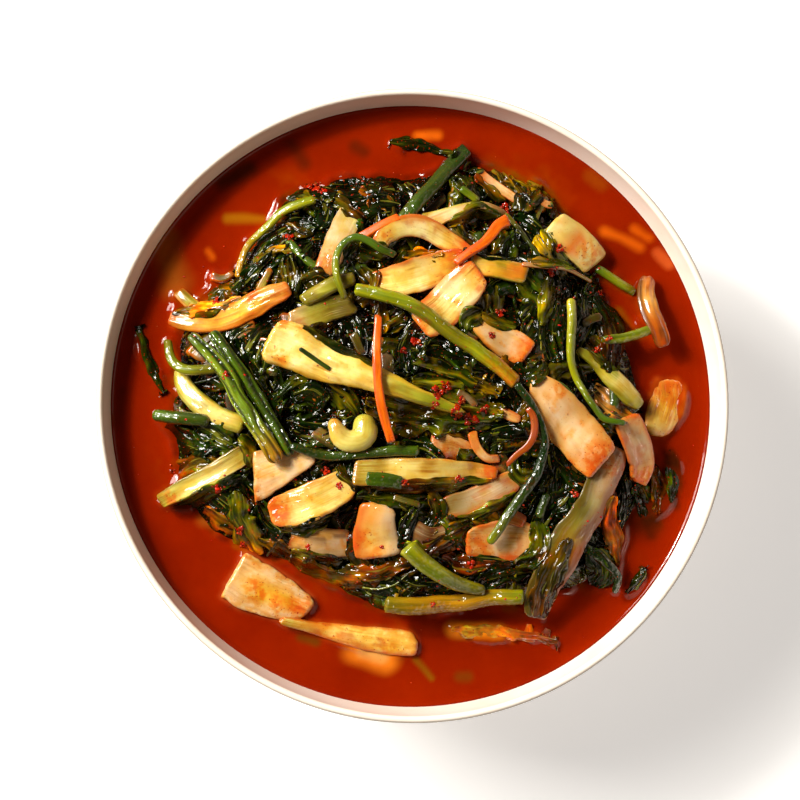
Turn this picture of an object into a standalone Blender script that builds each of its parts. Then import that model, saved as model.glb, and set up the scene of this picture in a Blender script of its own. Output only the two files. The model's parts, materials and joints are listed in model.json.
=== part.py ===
"""A bowl of kimchi: a round ceramic bowl, its red broth, the heap of vegetables and the pieces that float beside it.

Metres, +Z up. The origin is the centre of the foot ring's underside, and +Y is the far side of the bowl.
Run with: blender --background --python part.py
"""

import math

import bmesh
import bpy
from mathutils import Matrix, Vector, noise

MM = 0.001
GAP = 0.3 * MM  # clearance between pieces that touch
TURN_STEPS = 64  # facets round every turned shape

# Bowl
RIM_RADIUS = 105 * MM
BOWL_HEIGHT = 72 * MM
LIP_RADIUS = 1.2 * MM  # half the wall's thickness at the rim
FOOT_RADIUS = 46 * MM
FOOT_WIDTH = 5 * MM
FOOT_HEIGHT = 6 * MM
FOOT_TAPER = 2 * MM  # how much wider the foot is where it meets the body
FOOT_CHAMFER = 0.7 * MM
UNDERSIDE_Z = 3 * MM
FLOOR_Z = 9 * MM
FLOOR_RADIUS = 44 * MM
WALL_SWEEP = math.radians(77)  # part of a quarter turn that the wall's curve goes through, so that it still flares
WALL_POINTS = 9

# Broth
BROTH_LEVEL = 61 * MM

# Heap of vegetables: its outline at the broth's level every 15 degrees, from +X towards +Y
HEAP_OUTLINE_MM = (78, 76, 75, 80, 85, 85, 78, 80, 83, 77, 78, 83, 80, 84, 82, 71, 66, 69, 70, 72, 78, 84, 84, 84)
HEAP_PEAK = 26 * MM  # above the broth
HEAP_BOTTOM_RADIUS = 38 * MM
HEAP_BUMP = 4.5 * MM
HEAP_BUMP_SIZE = 15 * MM
HEAP_CUTS = 11  # cuts along each edge of the cube that the heap is shaped from, an odd number
HEAP_SIDE_SHARE = 0.7  # share of the lower half that makes the side, the rest is the flat bottom

CUTTER_GROWTH = 0.6 * MM  # along vertex normals, which leaves at least GAP at a slab's corners
CUTTER_DROP = 1.5 * MM  # how far the heap's cutter passes the broth's underside

# Floating pieces: outline in the plan, thickness, height of the middle above the broth, roll and pitch in degrees
FLOATERS = {
    "float_cabbage_fan": (((-54, -50), (-65, -61), (-63, -65), (-50, -70), (-36, -69), (-41, -60)), 4.2, 0.8, 6, -4),
    "float_leaf_strip": (((-43, -74), (-20, -75.5), (1, -77), (2, -80), (-6, -83), (-20, -81), (-41, -77)), 3.4, 0.9, 3, 0),
    "float_frill": (((12, -73), (26, -73), (44, -76), (49, -80), (42, -81), (26, -78), (13, -77)), 3.2, 0.6, -3, 0),
    "float_rim_leaf": (((77, -54), (78, -57), (74, -63), (71, -64), (72, -60), (75, -55)), 2.4, 0.5, 0, 0),
    "float_curl": (((77, 44), (82, 43), (84, 34), (87, 25), (84, 18), (80, 20), (79, 31)), 5.0, 1.6, 0, 0),
    "float_rib_right": (((83, 8), (89, 8), (91, 2), (86, -9), (81, -10), (80, -2)), 4.6, -0.2, 0, 6),
    "float_sliver_left": (((-93, 26), (-90, 26), (-86, 13), (-82, 5), (-84, 3), (-89, 12)), 2.2, 0.5, 0, 0),
    "float_leaf_top": (((-9, 89), (0, 89), (9, 87), (13, 84), (9, 83), (-2, 86)), 2.2, 0.4, 0, 0),
}
DARK_FLOATERS = ("float_rim_leaf", "float_sliver_left", "float_leaf_top")


def material(name, colour, roughness, metallic=0.0):
    made = bpy.data.materials.new(name)
    made.use_nodes = True
    shader = made.node_tree.nodes["Principled BSDF"]
    shader.inputs["Base Color"].default_value = (*colour, 1.0)
    shader.inputs["Roughness"].default_value = roughness
    shader.inputs["Metallic"].default_value = metallic
    return made


def new_collection(name):
    made = bpy.data.collections.new(name)
    bpy.context.scene.collection.children.link(made)
    return made


def new_object(name, data, collection, finish=None):
    made = bpy.data.objects.new(name, data)
    collection.objects.link(made)
    if finish:
        made.data.materials.append(finish)
    return made


def turned(name, profile, collection, finish=None):
    """A solid of revolution about +Z. The profile runs from the axis up the inside and down the outside."""
    mesh = bpy.data.meshes.new(name)
    points = [(x, 0.0, z) for x, z in profile]
    mesh.from_pydata(points, [(i, i + 1) for i in range(len(points) - 1)], [])
    made = new_object(name, mesh, collection, finish)
    screw = made.modifiers.new("Turn", "SCREW")
    screw.steps = screw.render_steps = TURN_STEPS
    screw.use_merge_vertices = True
    screw.merge_threshold = 0.01 * MM
    screw.use_smooth_shade = True
    return made


def wall_curve(start, end, points):
    """Part of an ellipse from start, running level, to end, running up and a little outwards."""
    (r0, z0), (r1, z1) = start, end
    for i in range(points + 1):
        angle = WALL_SWEEP * i / points
        outwards = math.sin(angle) / math.sin(WALL_SWEEP)
        upwards = (1 - math.cos(angle)) / (1 - math.cos(WALL_SWEEP))
        yield r0 + (r1 - r0) * outwards, z0 + (z1 - z0) * upwards


def inner_wall(inset=0.0):
    """The bowl's inner side, from the floor's edge to just under the lip, moved inwards by inset."""
    start = (FLOOR_RADIUS, FLOOR_Z + inset)
    end = (RIM_RADIUS - 2 * LIP_RADIUS - inset, BOWL_HEIGHT - LIP_RADIUS)
    return list(wall_curve(start, end, WALL_POINTS))


def inner_radius_at(height, inset=0.0):
    """The bowl's inner radius at a height, on the faceted wall."""
    wall = inner_wall(inset)
    for (r0, z0), (r1, z1) in zip(wall, wall[1:]):
        if z0 <= height <= z1:
            return r0 + (r1 - r0) * (height - z0) / (z1 - z0)
    return wall[-1][0]


def lip():
    """Half a circle over the rim, from the inner wall to the outer."""
    centre_r, centre_z = RIM_RADIUS - LIP_RADIUS, BOWL_HEIGHT - LIP_RADIUS
    for degrees in (150, 120, 90, 60, 30):
        angle = math.radians(degrees)
        yield centre_r + LIP_RADIUS * math.cos(angle), centre_z + LIP_RADIUS * math.sin(angle)


def make_bowl(collection):
    outer_start = (FOOT_RADIUS + FOOT_TAPER, FOOT_HEIGHT)
    outer_end = (RIM_RADIUS, BOWL_HEIGHT - LIP_RADIUS)
    outer = list(wall_curve(outer_start, outer_end, WALL_POINTS))
    foot = [
        (FOOT_RADIUS, FOOT_CHAMFER),
        (FOOT_RADIUS - FOOT_CHAMFER, 0.0),
        (FOOT_RADIUS - FOOT_WIDTH + FOOT_CHAMFER, 0.0),
        (FOOT_RADIUS - FOOT_WIDTH, FOOT_CHAMFER),
        (FOOT_RADIUS - FOOT_WIDTH, UNDERSIDE_Z),
        (0.0, UNDERSIDE_Z),
    ]
    profile = [(0.0, FLOOR_Z), *inner_wall(), *lip(), *reversed(outer), *foot]
    glaze = material("white_glaze", (0.87, 0.83, 0.78), 0.18)
    return turned("bowl", profile, collection, glaze)


def heap_radius(angle):
    """The heap's outline at the broth's level, smooth between the given radii."""
    place = angle / math.tau * len(HEAP_OUTLINE_MM)
    first = math.floor(place)
    share = place - first
    share = share * share * (3 - 2 * share)
    low = HEAP_OUTLINE_MM[first % len(HEAP_OUTLINE_MM)]
    high = HEAP_OUTLINE_MM[(first + 1) % len(HEAP_OUTLINE_MM)]
    return (low + (high - low) * share) * MM


def heap_point(direction):
    """Where a point of the unit sphere goes on the heap."""
    angle = math.atan2(direction.y, direction.x)
    outline = heap_radius(angle)
    latitude = math.asin(max(-1.0, min(1.0, direction.z)))
    share = abs(latitude) / (math.pi / 2)
    if latitude >= 0:
        radius = outline * math.cos(latitude) ** 0.85
        height = BROTH_LEVEL + HEAP_PEAK * math.sin(latitude) ** 0.9
    elif share < HEAP_SIDE_SHARE:
        down = share / HEAP_SIDE_SHARE
        radius = outline + (HEAP_BOTTOM_RADIUS - outline) * down**1.6
        height = BROTH_LEVEL + (FLOOR_Z + GAP - BROTH_LEVEL) * down
    else:
        radius = HEAP_BOTTOM_RADIUS * (1 - share) / (1 - HEAP_SIDE_SHARE)
        height = FLOOR_Z + GAP
    return Vector((radius * math.cos(angle), radius * math.sin(angle), height))


def bumps(point):
    """The uneven top: 0 at the broth's level and below, full towards the peak."""
    rise = max(0.0, min(1.0, (point.z - BROTH_LEVEL) / (0.5 * HEAP_PEAK)))
    waves = noise.fractal(point / HEAP_BUMP_SIZE, 1.0, 2.0, 3)
    return HEAP_BUMP * waves * rise


def make_heap(collection):
    mesh = bpy.data.meshes.new("kimchi_heap")
    shape = bmesh.new()
    bmesh.ops.create_cube(shape, size=2.0)
    bmesh.ops.subdivide_edges(shape, edges=shape.edges, cuts=HEAP_CUTS, use_grid_fill=True)
    for vertex in shape.verts:
        point = heap_point(vertex.co.normalized())
        point.z += bumps(point)
        vertex.co = point
    shape.to_mesh(mesh)
    shape.free()
    greens = material("kimchi_vegetables", (0.10, 0.12, 0.03), 0.35)
    made = new_object("kimchi_heap", mesh, collection, greens)
    made.data.shade_smooth()
    return made


def make_floater(name, outline, thickness, rise, roll, pitch, collection, finish):
    """A flat piece that lies in the broth's surface: a rounded outline with bevelled edges."""
    centre = sum((Vector((x, y)) for x, y in outline), Vector((0.0, 0.0))) / len(outline)
    curve = bpy.data.curves.new(name, "CURVE")
    curve.dimensions = "2D"
    curve.fill_mode = "BOTH"
    curve.resolution_u = 2
    curve.extrude = 0.3 * thickness * MM
    curve.bevel_depth = 0.2 * thickness * MM
    curve.bevel_resolution = 0
    curve.offset = -curve.bevel_depth
    spline = curve.splines.new("BEZIER")
    spline.bezier_points.add(len(outline) - 1)
    for point, (x, y) in zip(spline.bezier_points, outline):
        point.co = ((x - centre.x) * MM, (y - centre.y) * MM, 0.0)
        point.handle_left_type = point.handle_right_type = "AUTO"
    spline.use_cyclic_u = True
    drawn = new_object(name + "_outline", curve, collection)
    bpy.context.view_layer.update()
    graph = bpy.context.evaluated_depsgraph_get()
    mesh = bpy.data.meshes.new_from_object(drawn.evaluated_get(graph), depsgraph=graph)
    bpy.data.objects.remove(drawn)
    shape = bmesh.new()
    shape.from_mesh(mesh)
    bmesh.ops.remove_doubles(shape, verts=shape.verts, dist=0.01 * MM)
    bmesh.ops.recalc_face_normals(shape, faces=shape.faces)
    shape.to_mesh(mesh)
    shape.free()
    made = new_object(name, mesh, collection, finish)
    tilt = Matrix.Rotation(math.radians(roll), 4, "X") @ Matrix.Rotation(math.radians(pitch), 4, "Y")
    place = Vector((centre.x * MM, centre.y * MM, BROTH_LEVEL + rise * MM))
    made.matrix_world = Matrix.Translation(place) @ tilt
    return made


def cutter_for(source, collection, drop=0.0):
    """A copy of a piece, grown along its normals, with its underside lowered by drop."""
    mesh = source.data.copy()
    mesh.transform(source.matrix_world)
    shape = bmesh.new()
    shape.from_mesh(mesh)
    shape.normal_update()
    lowest = min(vertex.co.z for vertex in shape.verts)
    moved = [vertex.co + vertex.normal * CUTTER_GROWTH for vertex in shape.verts]
    for vertex, place in zip(shape.verts, moved):
        on_underside = drop and vertex.co.z < lowest + GAP
        vertex.co = place
        if on_underside:
            vertex.co.z = lowest - drop
    shape.to_mesh(mesh)
    shape.free()
    made = new_object(source.name + "_cutter", mesh, collection)
    made.display_type = "WIRE"
    made.hide_render = True
    return made


def make_broth(heap, floaters, collection, cutters):
    """The bowl filled to the level, cut round the heap and the floating pieces."""
    side = [point for point in inner_wall(GAP) if point[1] < BROTH_LEVEL]
    edge = (inner_radius_at(BROTH_LEVEL, GAP), BROTH_LEVEL)
    profile = [(0.0, BROTH_LEVEL), edge, *reversed(side), (0.0, FLOOR_Z + GAP)]
    liquid = material("red_broth", (0.42, 0.03, 0.004), 0.08)
    broth = turned("broth", profile, collection, liquid)
    for piece in (heap, *floaters):
        cut = broth.modifiers.new("Round " + piece.name, "BOOLEAN")
        cut.operation = "DIFFERENCE"
        cut.solver = "EXACT"
        cut.object = cutter_for(piece, cutters, CUTTER_DROP if piece == heap else 0.0)
    return broth


def main():
    for old in list(bpy.data.objects):
        bpy.data.objects.remove(old)
    parts = new_collection("kimchi_bowl")
    cutters = new_collection("cutters")
    make_bowl(parts)
    heap = make_heap(parts)
    pale = material("pale_cabbage", (0.72, 0.58, 0.33), 0.3)
    dark = material("dark_leaf", (0.03, 0.07, 0.02), 0.3)
    floaters = []
    for name, (outline, thickness, rise, roll, pitch) in FLOATERS.items():
        finish = dark if name in DARK_FLOATERS else pale
        floaters.append(make_floater(name, outline, thickness, rise, roll, pitch, parts, finish))
    bpy.context.view_layer.update()
    make_broth(heap, floaters, parts, cutters)


main()
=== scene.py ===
"""The looks of a bowl of kimchi: glazed bowl, red broth, and a heap of ribs, leaves, stems and carrot strips.

Sizes are in millimetres until a mesh is made. Every strip and leaf of the heap is laid on what lies under it:
a relief, a grid of heights seen from above, starts from the CAD heap and rises with each piece that is laid.
"""

import itertools
import json
import math

import bpy
import numpy as np
from mathutils import Matrix, Vector
from mathutils.bvhtree import BVHTree

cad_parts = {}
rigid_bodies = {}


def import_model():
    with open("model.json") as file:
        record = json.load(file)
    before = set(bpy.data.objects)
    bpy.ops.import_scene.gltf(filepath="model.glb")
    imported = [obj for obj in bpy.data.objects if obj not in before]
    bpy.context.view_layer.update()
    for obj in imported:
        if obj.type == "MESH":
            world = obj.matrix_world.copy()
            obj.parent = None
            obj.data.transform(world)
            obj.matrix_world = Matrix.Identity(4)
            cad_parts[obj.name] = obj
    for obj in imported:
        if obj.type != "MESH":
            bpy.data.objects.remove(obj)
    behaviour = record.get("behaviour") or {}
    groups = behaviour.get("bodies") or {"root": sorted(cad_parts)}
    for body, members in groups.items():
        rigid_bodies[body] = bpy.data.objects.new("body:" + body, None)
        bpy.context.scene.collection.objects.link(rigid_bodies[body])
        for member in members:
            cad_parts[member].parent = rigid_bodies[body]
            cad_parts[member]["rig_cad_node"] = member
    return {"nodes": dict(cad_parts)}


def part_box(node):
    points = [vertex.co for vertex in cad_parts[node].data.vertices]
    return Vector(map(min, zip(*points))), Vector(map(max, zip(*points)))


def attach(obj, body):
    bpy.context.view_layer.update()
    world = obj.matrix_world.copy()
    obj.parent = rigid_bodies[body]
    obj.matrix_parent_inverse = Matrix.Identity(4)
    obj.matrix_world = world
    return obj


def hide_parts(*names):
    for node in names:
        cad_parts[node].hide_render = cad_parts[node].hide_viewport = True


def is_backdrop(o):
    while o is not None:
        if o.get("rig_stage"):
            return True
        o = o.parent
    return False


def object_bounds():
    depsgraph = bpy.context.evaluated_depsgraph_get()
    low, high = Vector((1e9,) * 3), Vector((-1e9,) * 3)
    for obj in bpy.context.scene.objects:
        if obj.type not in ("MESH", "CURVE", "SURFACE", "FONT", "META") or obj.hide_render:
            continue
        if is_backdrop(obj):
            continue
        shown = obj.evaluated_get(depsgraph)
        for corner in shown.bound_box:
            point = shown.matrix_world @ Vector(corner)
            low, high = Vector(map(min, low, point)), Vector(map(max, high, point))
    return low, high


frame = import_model()
CAD_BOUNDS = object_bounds()

MM = 0.001
HEAP = "kimchi_heap"

# The bowl, as in the CAD
BOWL_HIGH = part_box("bowl")[1]
RIM_RADIUS = BOWL_HIGH.x / MM
BOWL_HEIGHT = BOWL_HIGH.z / MM
BROTH_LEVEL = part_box("broth")[1].z / MM
LIP_RADIUS = 1.2
WALL_SWEEP = math.radians(77)
FOOT_RADIUS, FOOT_WIDTH, FOOT_HEIGHT, FOOT_TAPER = 46.0, 5.0, 6.0, 2.0
UNDERSIDE_Z, FLOOR_Z, FLOOR_RADIUS = 3.0, 9.0, 44.0

# The camera: nearly overhead, tilted a little to the left and towards the front
CAMERA_TARGET = Vector((0.0, 0.0, 72.0))
CAMERA_DISTANCE = 600.0
CAMERA_LEAN = (-5.0, -2.2)  # degrees from overhead along X and Y
CAMERA_LENS = 81.9
CAMERA_SHIFT = (-0.0214, 0.0043)
FLOOR_GLOW = 0.45


def camera_place():
    lean_x, lean_y = (math.tan(math.radians(degrees)) for degrees in CAMERA_LEAN)
    towards = Vector((lean_x, lean_y, 1.0)).normalized()
    return CAMERA_TARGET + towards * CAMERA_DISTANCE


CAMERA_PLACE = np.array(camera_place())


def seen_at(points, height):
    """Where points named by how they look on the broth's plane lie when they are at a height."""
    points = np.asarray(points, float)
    share = (np.asarray(height, float) - BROTH_LEVEL) / (CAMERA_PLACE[2] - BROTH_LEVEL)
    return points + (CAMERA_PLACE[:2] - points) * share[..., None]


def colour(red, green, blue):
    """A colour named by its screen values, as a linear one."""
    share = np.array((red, green, blue), float) / 255.0
    return np.where(share <= 0.04045, share / 12.92, ((share + 0.055) / 1.055) ** 2.4)


IVORY = colour(250, 238, 184)
CREAM = colour(236, 212, 124)
WHITE_PINK = colour(222, 190, 152)
PEACH = colour(222, 166, 80)
YELLOW = colour(222, 176, 48)
MUSTARD = colour(168, 118, 10)
PALE_GREEN = colour(176, 170, 58)
LIME = colour(134, 138, 10)
OLIVE = colour(112, 102, 6)
FRESH_GREEN = colour(112, 130, 28)
STEM_GREEN = colour(72, 98, 10)
GREEN = colour(52, 70, 10)
DARK_GREEN = colour(24, 46, 6)
LEAF = colour(14, 36, 5)
LEAF_BLACK = colour(8, 20, 4)
LEAF_OLIVE = colour(66, 64, 5)
BROWN = colour(94, 50, 7)
ORANGE = colour(226, 112, 24)
CARROT = colour(236, 118, 8)
BROTH = colour(144, 28, 0)
AMBER = colour(196, 100, 10)
JUICY = np.array((0.90, 0.72, 0.36))

END_STEPS = np.array((0.0, 0.25, 0.6, 1.1, 1.8))  # the first places along any strip or leaf

# Clusters of chilli: middle, width and number of flakes
CLUSTERS = (
    (6, 3.5, 3.2, 14), (9, 5.5, 2.4, 10), (4.5, -1, 2, 8), (12, -3, 3.2, 12), (17, -5.5, 3.4, 14),
    (22, -2, 2.2, 8), (14, 1, 2, 6), (-34, 73, 2.8, 14), (-31, 71, 1.8, 8), (-58, -42, 2, 10),
    (-57, -47, 1.6, 8), (45, 44, 2.6, 12), (48, 52, 2, 10), (63, 38, 1.6, 4), (64, 22, 1.6, 4),
    (-5, -26, 1.6, 6), (13, -25, 1.8, 8), (-42, 55, 2, 10), (-66, 34, 1.8, 8), (-26, -27, 1.6, 8),
    (-63, 9, 1.6, 8), (5, -66, 1.4, 4), (30, 66, 2.4, 14), (-1, 20, 2.2, 8), (-5, 17, 1.6, 6),
    (-65, -28, 2, 8), (-80, -22, 1.6, 6), (60, 18, 1.6, 8), (-36, -47, 1.4, 6), (24, 22, 1.6, 8),
    (-12, -47, 1.0, 4), (-30, -22, 1.8, 8), (27, 30, 1.8, 8), (52, -30, 1.6, 8), (18, -53, 1.8, 10),
)

# Where orange sauce has soaked into the ribs: middle and width
STAINS = (
    (-45, 26, 5), (-38, 25, 3.6), (-45, 14.5, 4), (60, -18, 9), (66, -21, 6), (39, 17, 6), (76, -25, 8),
    (72, -4, 4), (58, 51, 7), (21, 41, 4), (12, 33, 3), (17, 50, 6), (-13, 42, 4), (18, 52, 4), (-11, 55, 4),
    (-53, -31, 5), (-47, -36, 8), (-18, -44, 5), (-14, -50, 4), (25, -22, 6), (19, -47, 7), (30, -52, 6),
    (41, -50, 5), (-62, 33, 5), (-70, 31, 4), (-22, -46, 5), (-55, 35, 4), (-31, 46, 5), (10, -17, 4),
    (36, -26, 4), (46, 4, 4), (-27, -5, 3), (-80, -31, 4), (0, 26, 4), (-53, -62, 6), (-46, -66, 5),
    (-40, -67, 4),
)

CLUSTER_SMEAR, STAIN_SMEAR = 0.6, 0.65  # how strongly each colours what lies under it


# ---- Noise ---------------------------------------------------------------------------------------

_table = np.random.RandomState(11)
PERMUTATION = _table.permutation(256)
GRADIENTS = _table.normal(size=(256, 3))
GRADIENTS /= np.linalg.norm(GRADIENTS, axis=1)[:, None]


def noise(points):
    """Smooth gradient noise from about -1 to 1, with cells one unit wide."""
    points = np.asarray(points, float)
    cell = np.floor(points).astype(int)
    inside = points - cell
    smooth = inside * inside * inside * (inside * (inside * 6 - 15) + 10)
    total = np.zeros(points.shape[:-1])
    for corner in itertools.product((0, 1), repeat=3):
        at = cell + corner
        mixed = PERMUTATION[at[..., 0] & 255]
        mixed = PERMUTATION[(mixed + at[..., 1]) & 255]
        mixed = PERMUTATION[(mixed + at[..., 2]) & 255]
        slope = (GRADIENTS[mixed] * (inside - corner)).sum(-1)
        weight = np.where(corner, smooth, 1 - smooth).prod(-1)
        total += weight * slope
    return total * 1.6


def fractal(points, octaves=3):
    points = np.asarray(points, float)
    return sum(noise(points * 2**i + 17.3 * i) / 2**i for i in range(octaves))


def creases(points, octaves=2):
    """Noise with sharp ridges, from 0 to about 1: crumpled leaf."""
    points = np.asarray(points, float)
    total = 0.0
    for i in range(octaves):
        total = total + (1 - np.abs(noise(points * 1.9**i + 9.1 * i)) * 1.6) / 1.7**i
    return total / 1.6


def stacked(*columns):
    return np.stack(np.broadcast_arrays(*columns), axis=-1).astype(float)


def eased(low, high, value):
    """0 below low and 1 above high, smooth between."""
    share = np.clip((np.asarray(value, float) - low) / (high - low), 0, 1)
    return share * share * (3 - 2 * share)


def blend(first, second, share):
    share = np.asarray(share, float)[..., None]
    return first * (1 - share) + second * share


def colour_ramp(colours, share):
    """The colour at a share of the way along an evenly spaced list of colours."""
    colours = np.array(colours, float)
    if len(colours) == 1:
        return np.broadcast_to(colours[0], (*np.shape(share), 3)).copy()
    place = np.clip(share, 0, 1) * (len(colours) - 1)
    return np.stack([np.interp(place, range(len(colours)), colours[:, i]) for i in range(3)], axis=-1)


# ---- The relief that pieces are laid on ----------------------------------------------------------

CELL = 0.75
HALF = 105.0
COUNT = int(round(2 * HALF / CELL)) + 1


def blur(values, width):
    """Gaussian blur of a grid, by its width in millimetres."""
    wave = np.fft.fftfreq(COUNT, CELL)
    kept = np.exp(-2 * (math.pi * width * wave) ** 2)
    return np.fft.ifft2(np.fft.fft2(values) * kept[:, None] * kept[None, :]).real


class Relief:
    """What has been laid so far, seen from above."""

    def __init__(self, height, tint):
        self.height = height
        self.tint = np.broadcast_to(tint, (COUNT, COUNT, 3)).copy()
        self.taken = np.zeros((COUNT, COUNT))

    def at(self, x, y, values=None):
        """The height there, between grid points."""
        values = self.height if values is None else values
        column = np.clip((np.asarray(x) + HALF) / CELL, 0, COUNT - 1.001)
        row = np.clip((np.asarray(y) + HALF) / CELL, 0, COUNT - 1.001)
        i, j = column.astype(int), row.astype(int)
        a, b = column - i, row - j
        if values.ndim == 3:
            a, b = a[..., None], b[..., None]
        low = values[i, j] * (1 - a) + values[i + 1, j] * a
        high = values[i, j + 1] * (1 - a) + values[i + 1, j + 1] * a
        return low * (1 - b) + high * b

    def soft(self, width):
        return blur(self.height, width)

    def cover(self, sheet, tint, large=False):
        """Raise the relief to a sheet of points, a grid of rows and columns."""
        while np.linalg.norm(np.diff(sheet, axis=0), axis=-1).max() > 0.8 * CELL and len(sheet) < 900:
            sheet, tint = halved(sheet), halved(tint)
        while np.linalg.norm(np.diff(sheet, axis=1), axis=-1).max() > 0.8 * CELL and sheet.shape[1] < 500:
            sheet = halved(sheet.swapaxes(0, 1)).swapaxes(0, 1)
            tint = halved(tint.swapaxes(0, 1)).swapaxes(0, 1)
        points, tint = sheet.reshape(-1, 3), tint.reshape(-1, 3)
        i = np.clip(np.rint((points[:, 0] + HALF) / CELL).astype(int), 0, COUNT - 1)
        j = np.clip(np.rint((points[:, 1] + HALF) / CELL).astype(int), 0, COUNT - 1)
        higher = points[:, 2] > self.height[i, j]
        i, j, z, tint = i[higher], j[higher], points[higher, 2], tint[higher]
        order = np.argsort(z, kind="stable")
        self.height[i[order], j[order]] = z[order]
        self.tint[i[order], j[order]] = tint[order]
        self.taken[i, j] = float(large)


def halved(rows):
    """The same rows with one more between each two."""
    finer = np.empty((2 * len(rows) - 1, *rows.shape[1:]))
    finer[0::2] = rows
    finer[1::2] = (rows[1:] + rows[:-1]) / 2
    return finer


GRID_X, GRID_Y = np.meshgrid(*(np.linspace(-HALF, HALF, COUNT),) * 2, indexing="ij")
GRID_R = np.hypot(GRID_X, GRID_Y)


def cad_heap_top():
    """The height of the CAD heap's top over the grid, and how far each grid point is outside its outline."""
    mesh = frame["nodes"][HEAP].data
    places = np.array([v.co for v in mesh.vertices]) / MM
    tree = BVHTree.FromPolygons(places.tolist(), [list(p.vertices) for p in mesh.polygons])
    top = np.full((COUNT, COUNT), -1.0)
    down = Vector((0, 0, -1))
    for i, j in np.argwhere(GRID_R < 90):
        hit = tree.ray_cast(Vector((GRID_X[i, j], GRID_Y[i, j], 150.0)), down)[0]
        if hit:
            top[i, j] = hit.z
    inside = top > BROTH_LEVEL - 3
    turn = np.mod(np.arctan2(GRID_Y, GRID_X), math.tau)
    sectors = 120
    sector = np.minimum((turn / math.tau * sectors).astype(int), sectors - 1)
    outline = np.array([GRID_R[inside & (sector == k)].max() for k in range(sectors)])
    outline = (np.roll(outline, 1) + outline + np.roll(outline, -1)) / 3
    reach = np.interp(turn.ravel(), (np.arange(sectors) + 0.5) / sectors * math.tau, outline, period=math.tau)
    outside = GRID_R - reach.reshape(turn.shape)
    return np.where(inside, top, BROTH_LEVEL), outside, outline


CAD_TOP, OUTSIDE, OUTLINE = cad_heap_top()
COVER_SHARE = 0.70  # of the CAD heap's rise that the core keeps
COVER_DEPTH = 3.2


def core_heights():
    """The top of the core: the CAD heap, lowered to leave room for the pieces laid on it."""
    inner = BROTH_LEVEL - COVER_DEPTH + COVER_SHARE * (CAD_TOP - BROTH_LEVEL)
    outer = BROTH_LEVEL - COVER_DEPTH - 0.9 * np.clip(OUTSIDE, 0, None)
    height = np.where(OUTSIDE > 0, np.maximum(outer, BROTH_LEVEL - 14), inner)
    return blur(height, 2.0)


relief = Relief(core_heights(), LEAF_BLACK)


# ---- Meshes --------------------------------------------------------------------------------------


class Kind:
    """One mesh object that gathers every piece of one kind."""

    def __init__(self, name, slot, nodes):
        self.name, self.slot, self.nodes = name, slot, nodes
        self.points, self.quads, self.triangles = [], [], []
        self.tints, self.grains = [], []
        self.count = 0

    def add(self, points, quads, triangles, tint, grain):
        """Points are in millimetres; a tint is a colour and its sauce; grain is along, across and a seed."""
        points = points.reshape(-1, 3)
        self.points.append(points)
        self.quads.append(np.asarray(quads, int).reshape(-1, 4) + self.count)
        self.triangles.append(np.asarray(triangles, int).reshape(-1, 3) + self.count)
        self.tints.append(tint.reshape(-1, 4))
        self.grains.append(grain.reshape(-1, 3))
        self.count += len(points)

    def build(self, finish, sauce=True):
        points, tint = np.concatenate(self.points), np.concatenate(self.tints)
        quads, triangles = np.concatenate(self.quads), np.concatenate(self.triangles)
        made = mesh_object(self.name, points, quads, triangles, finish)
        # Adds sauce, and painted shade in hollows, to the tint unless sauce is off.
        store(made.data, "tint", "FLOAT_COLOR", "color", sauced_and_shaded(points, tint) if sauce else tint)
        store(made.data, "grain", "FLOAT_VECTOR", "vector", np.concatenate(self.grains))
        place(made, self.slot, self.nodes)


def mesh_object(name, points, quads, triangles, finish):
    mesh = bpy.data.meshes.new(name)
    loops = np.concatenate([quads.ravel(), triangles.ravel()])
    sizes = np.concatenate([np.full(len(quads), 4), np.full(len(triangles), 3)])
    mesh.vertices.add(len(points))
    mesh.vertices.foreach_set("co", (points * MM).ravel())
    mesh.loops.add(len(loops))
    mesh.loops.foreach_set("vertex_index", loops)
    mesh.polygons.add(len(sizes))
    mesh.polygons.foreach_set("loop_start", np.concatenate([[0], np.cumsum(sizes)[:-1]]))
    mesh.update(calc_edges=True)
    mesh.validate()
    mesh.shade_smooth()
    mesh.materials.append(finish)
    made = bpy.data.objects.new(name, mesh)
    bpy.context.scene.collection.objects.link(made)
    return made


def store(mesh, name, kind, field, values):
    layer = mesh.attributes.new(name, kind, "POINT")
    layer.data.foreach_set(field, values.astype(np.float32).ravel())


def place(piece, slot, nodes):
    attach(piece, "root")
    if nodes:
        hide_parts(*nodes)


def sauced_and_shaded(points, tint):
    """Sauce gathers in hollows, near the broth and round each cluster of chilli; hollows are also painted
    darker as painted shade.
    """
    x, y = points[:, 0], points[:, 1]
    smooth = relief.at(x, y, SMOOTH_RELIEF)
    hollow_shade_and_sauce = eased(0.3, 5.0, smooth - points[:, 2])
    near = 1 - eased(0.3, 5.0, points[:, 2] - BROTH_LEVEL)
    smear = np.zeros(len(points))
    ragged = noise(stacked(x / 2.5, y / 2.5, 8.8))
    smears = [(*cluster[:3], CLUSTER_SMEAR) for cluster in CLUSTERS]
    smears += [(*stain, STAIN_SMEAR) for stain in STAINS]
    for spot_x, spot_y, size, strength in smears:
        away = np.hypot(x - spot_x, y - spot_y) + 0.9 * ragged
        smear = np.maximum(smear, strength * (1 - eased(0.25 * size, 0.85 * size, away)))
    tint = tint.copy()
    # Painted shade: the colour is darkened in hollows.
    tint[:, :3] = tint[:, :3] * (1 - 0.8 * hollow_shade_and_sauce)[:, None]
    tint[:, 3] = np.clip(tint[:, 3] + 0.15 * hollow_shade_and_sauce + 0.4 * near + smear, 0, 1)
    return tint


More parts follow.
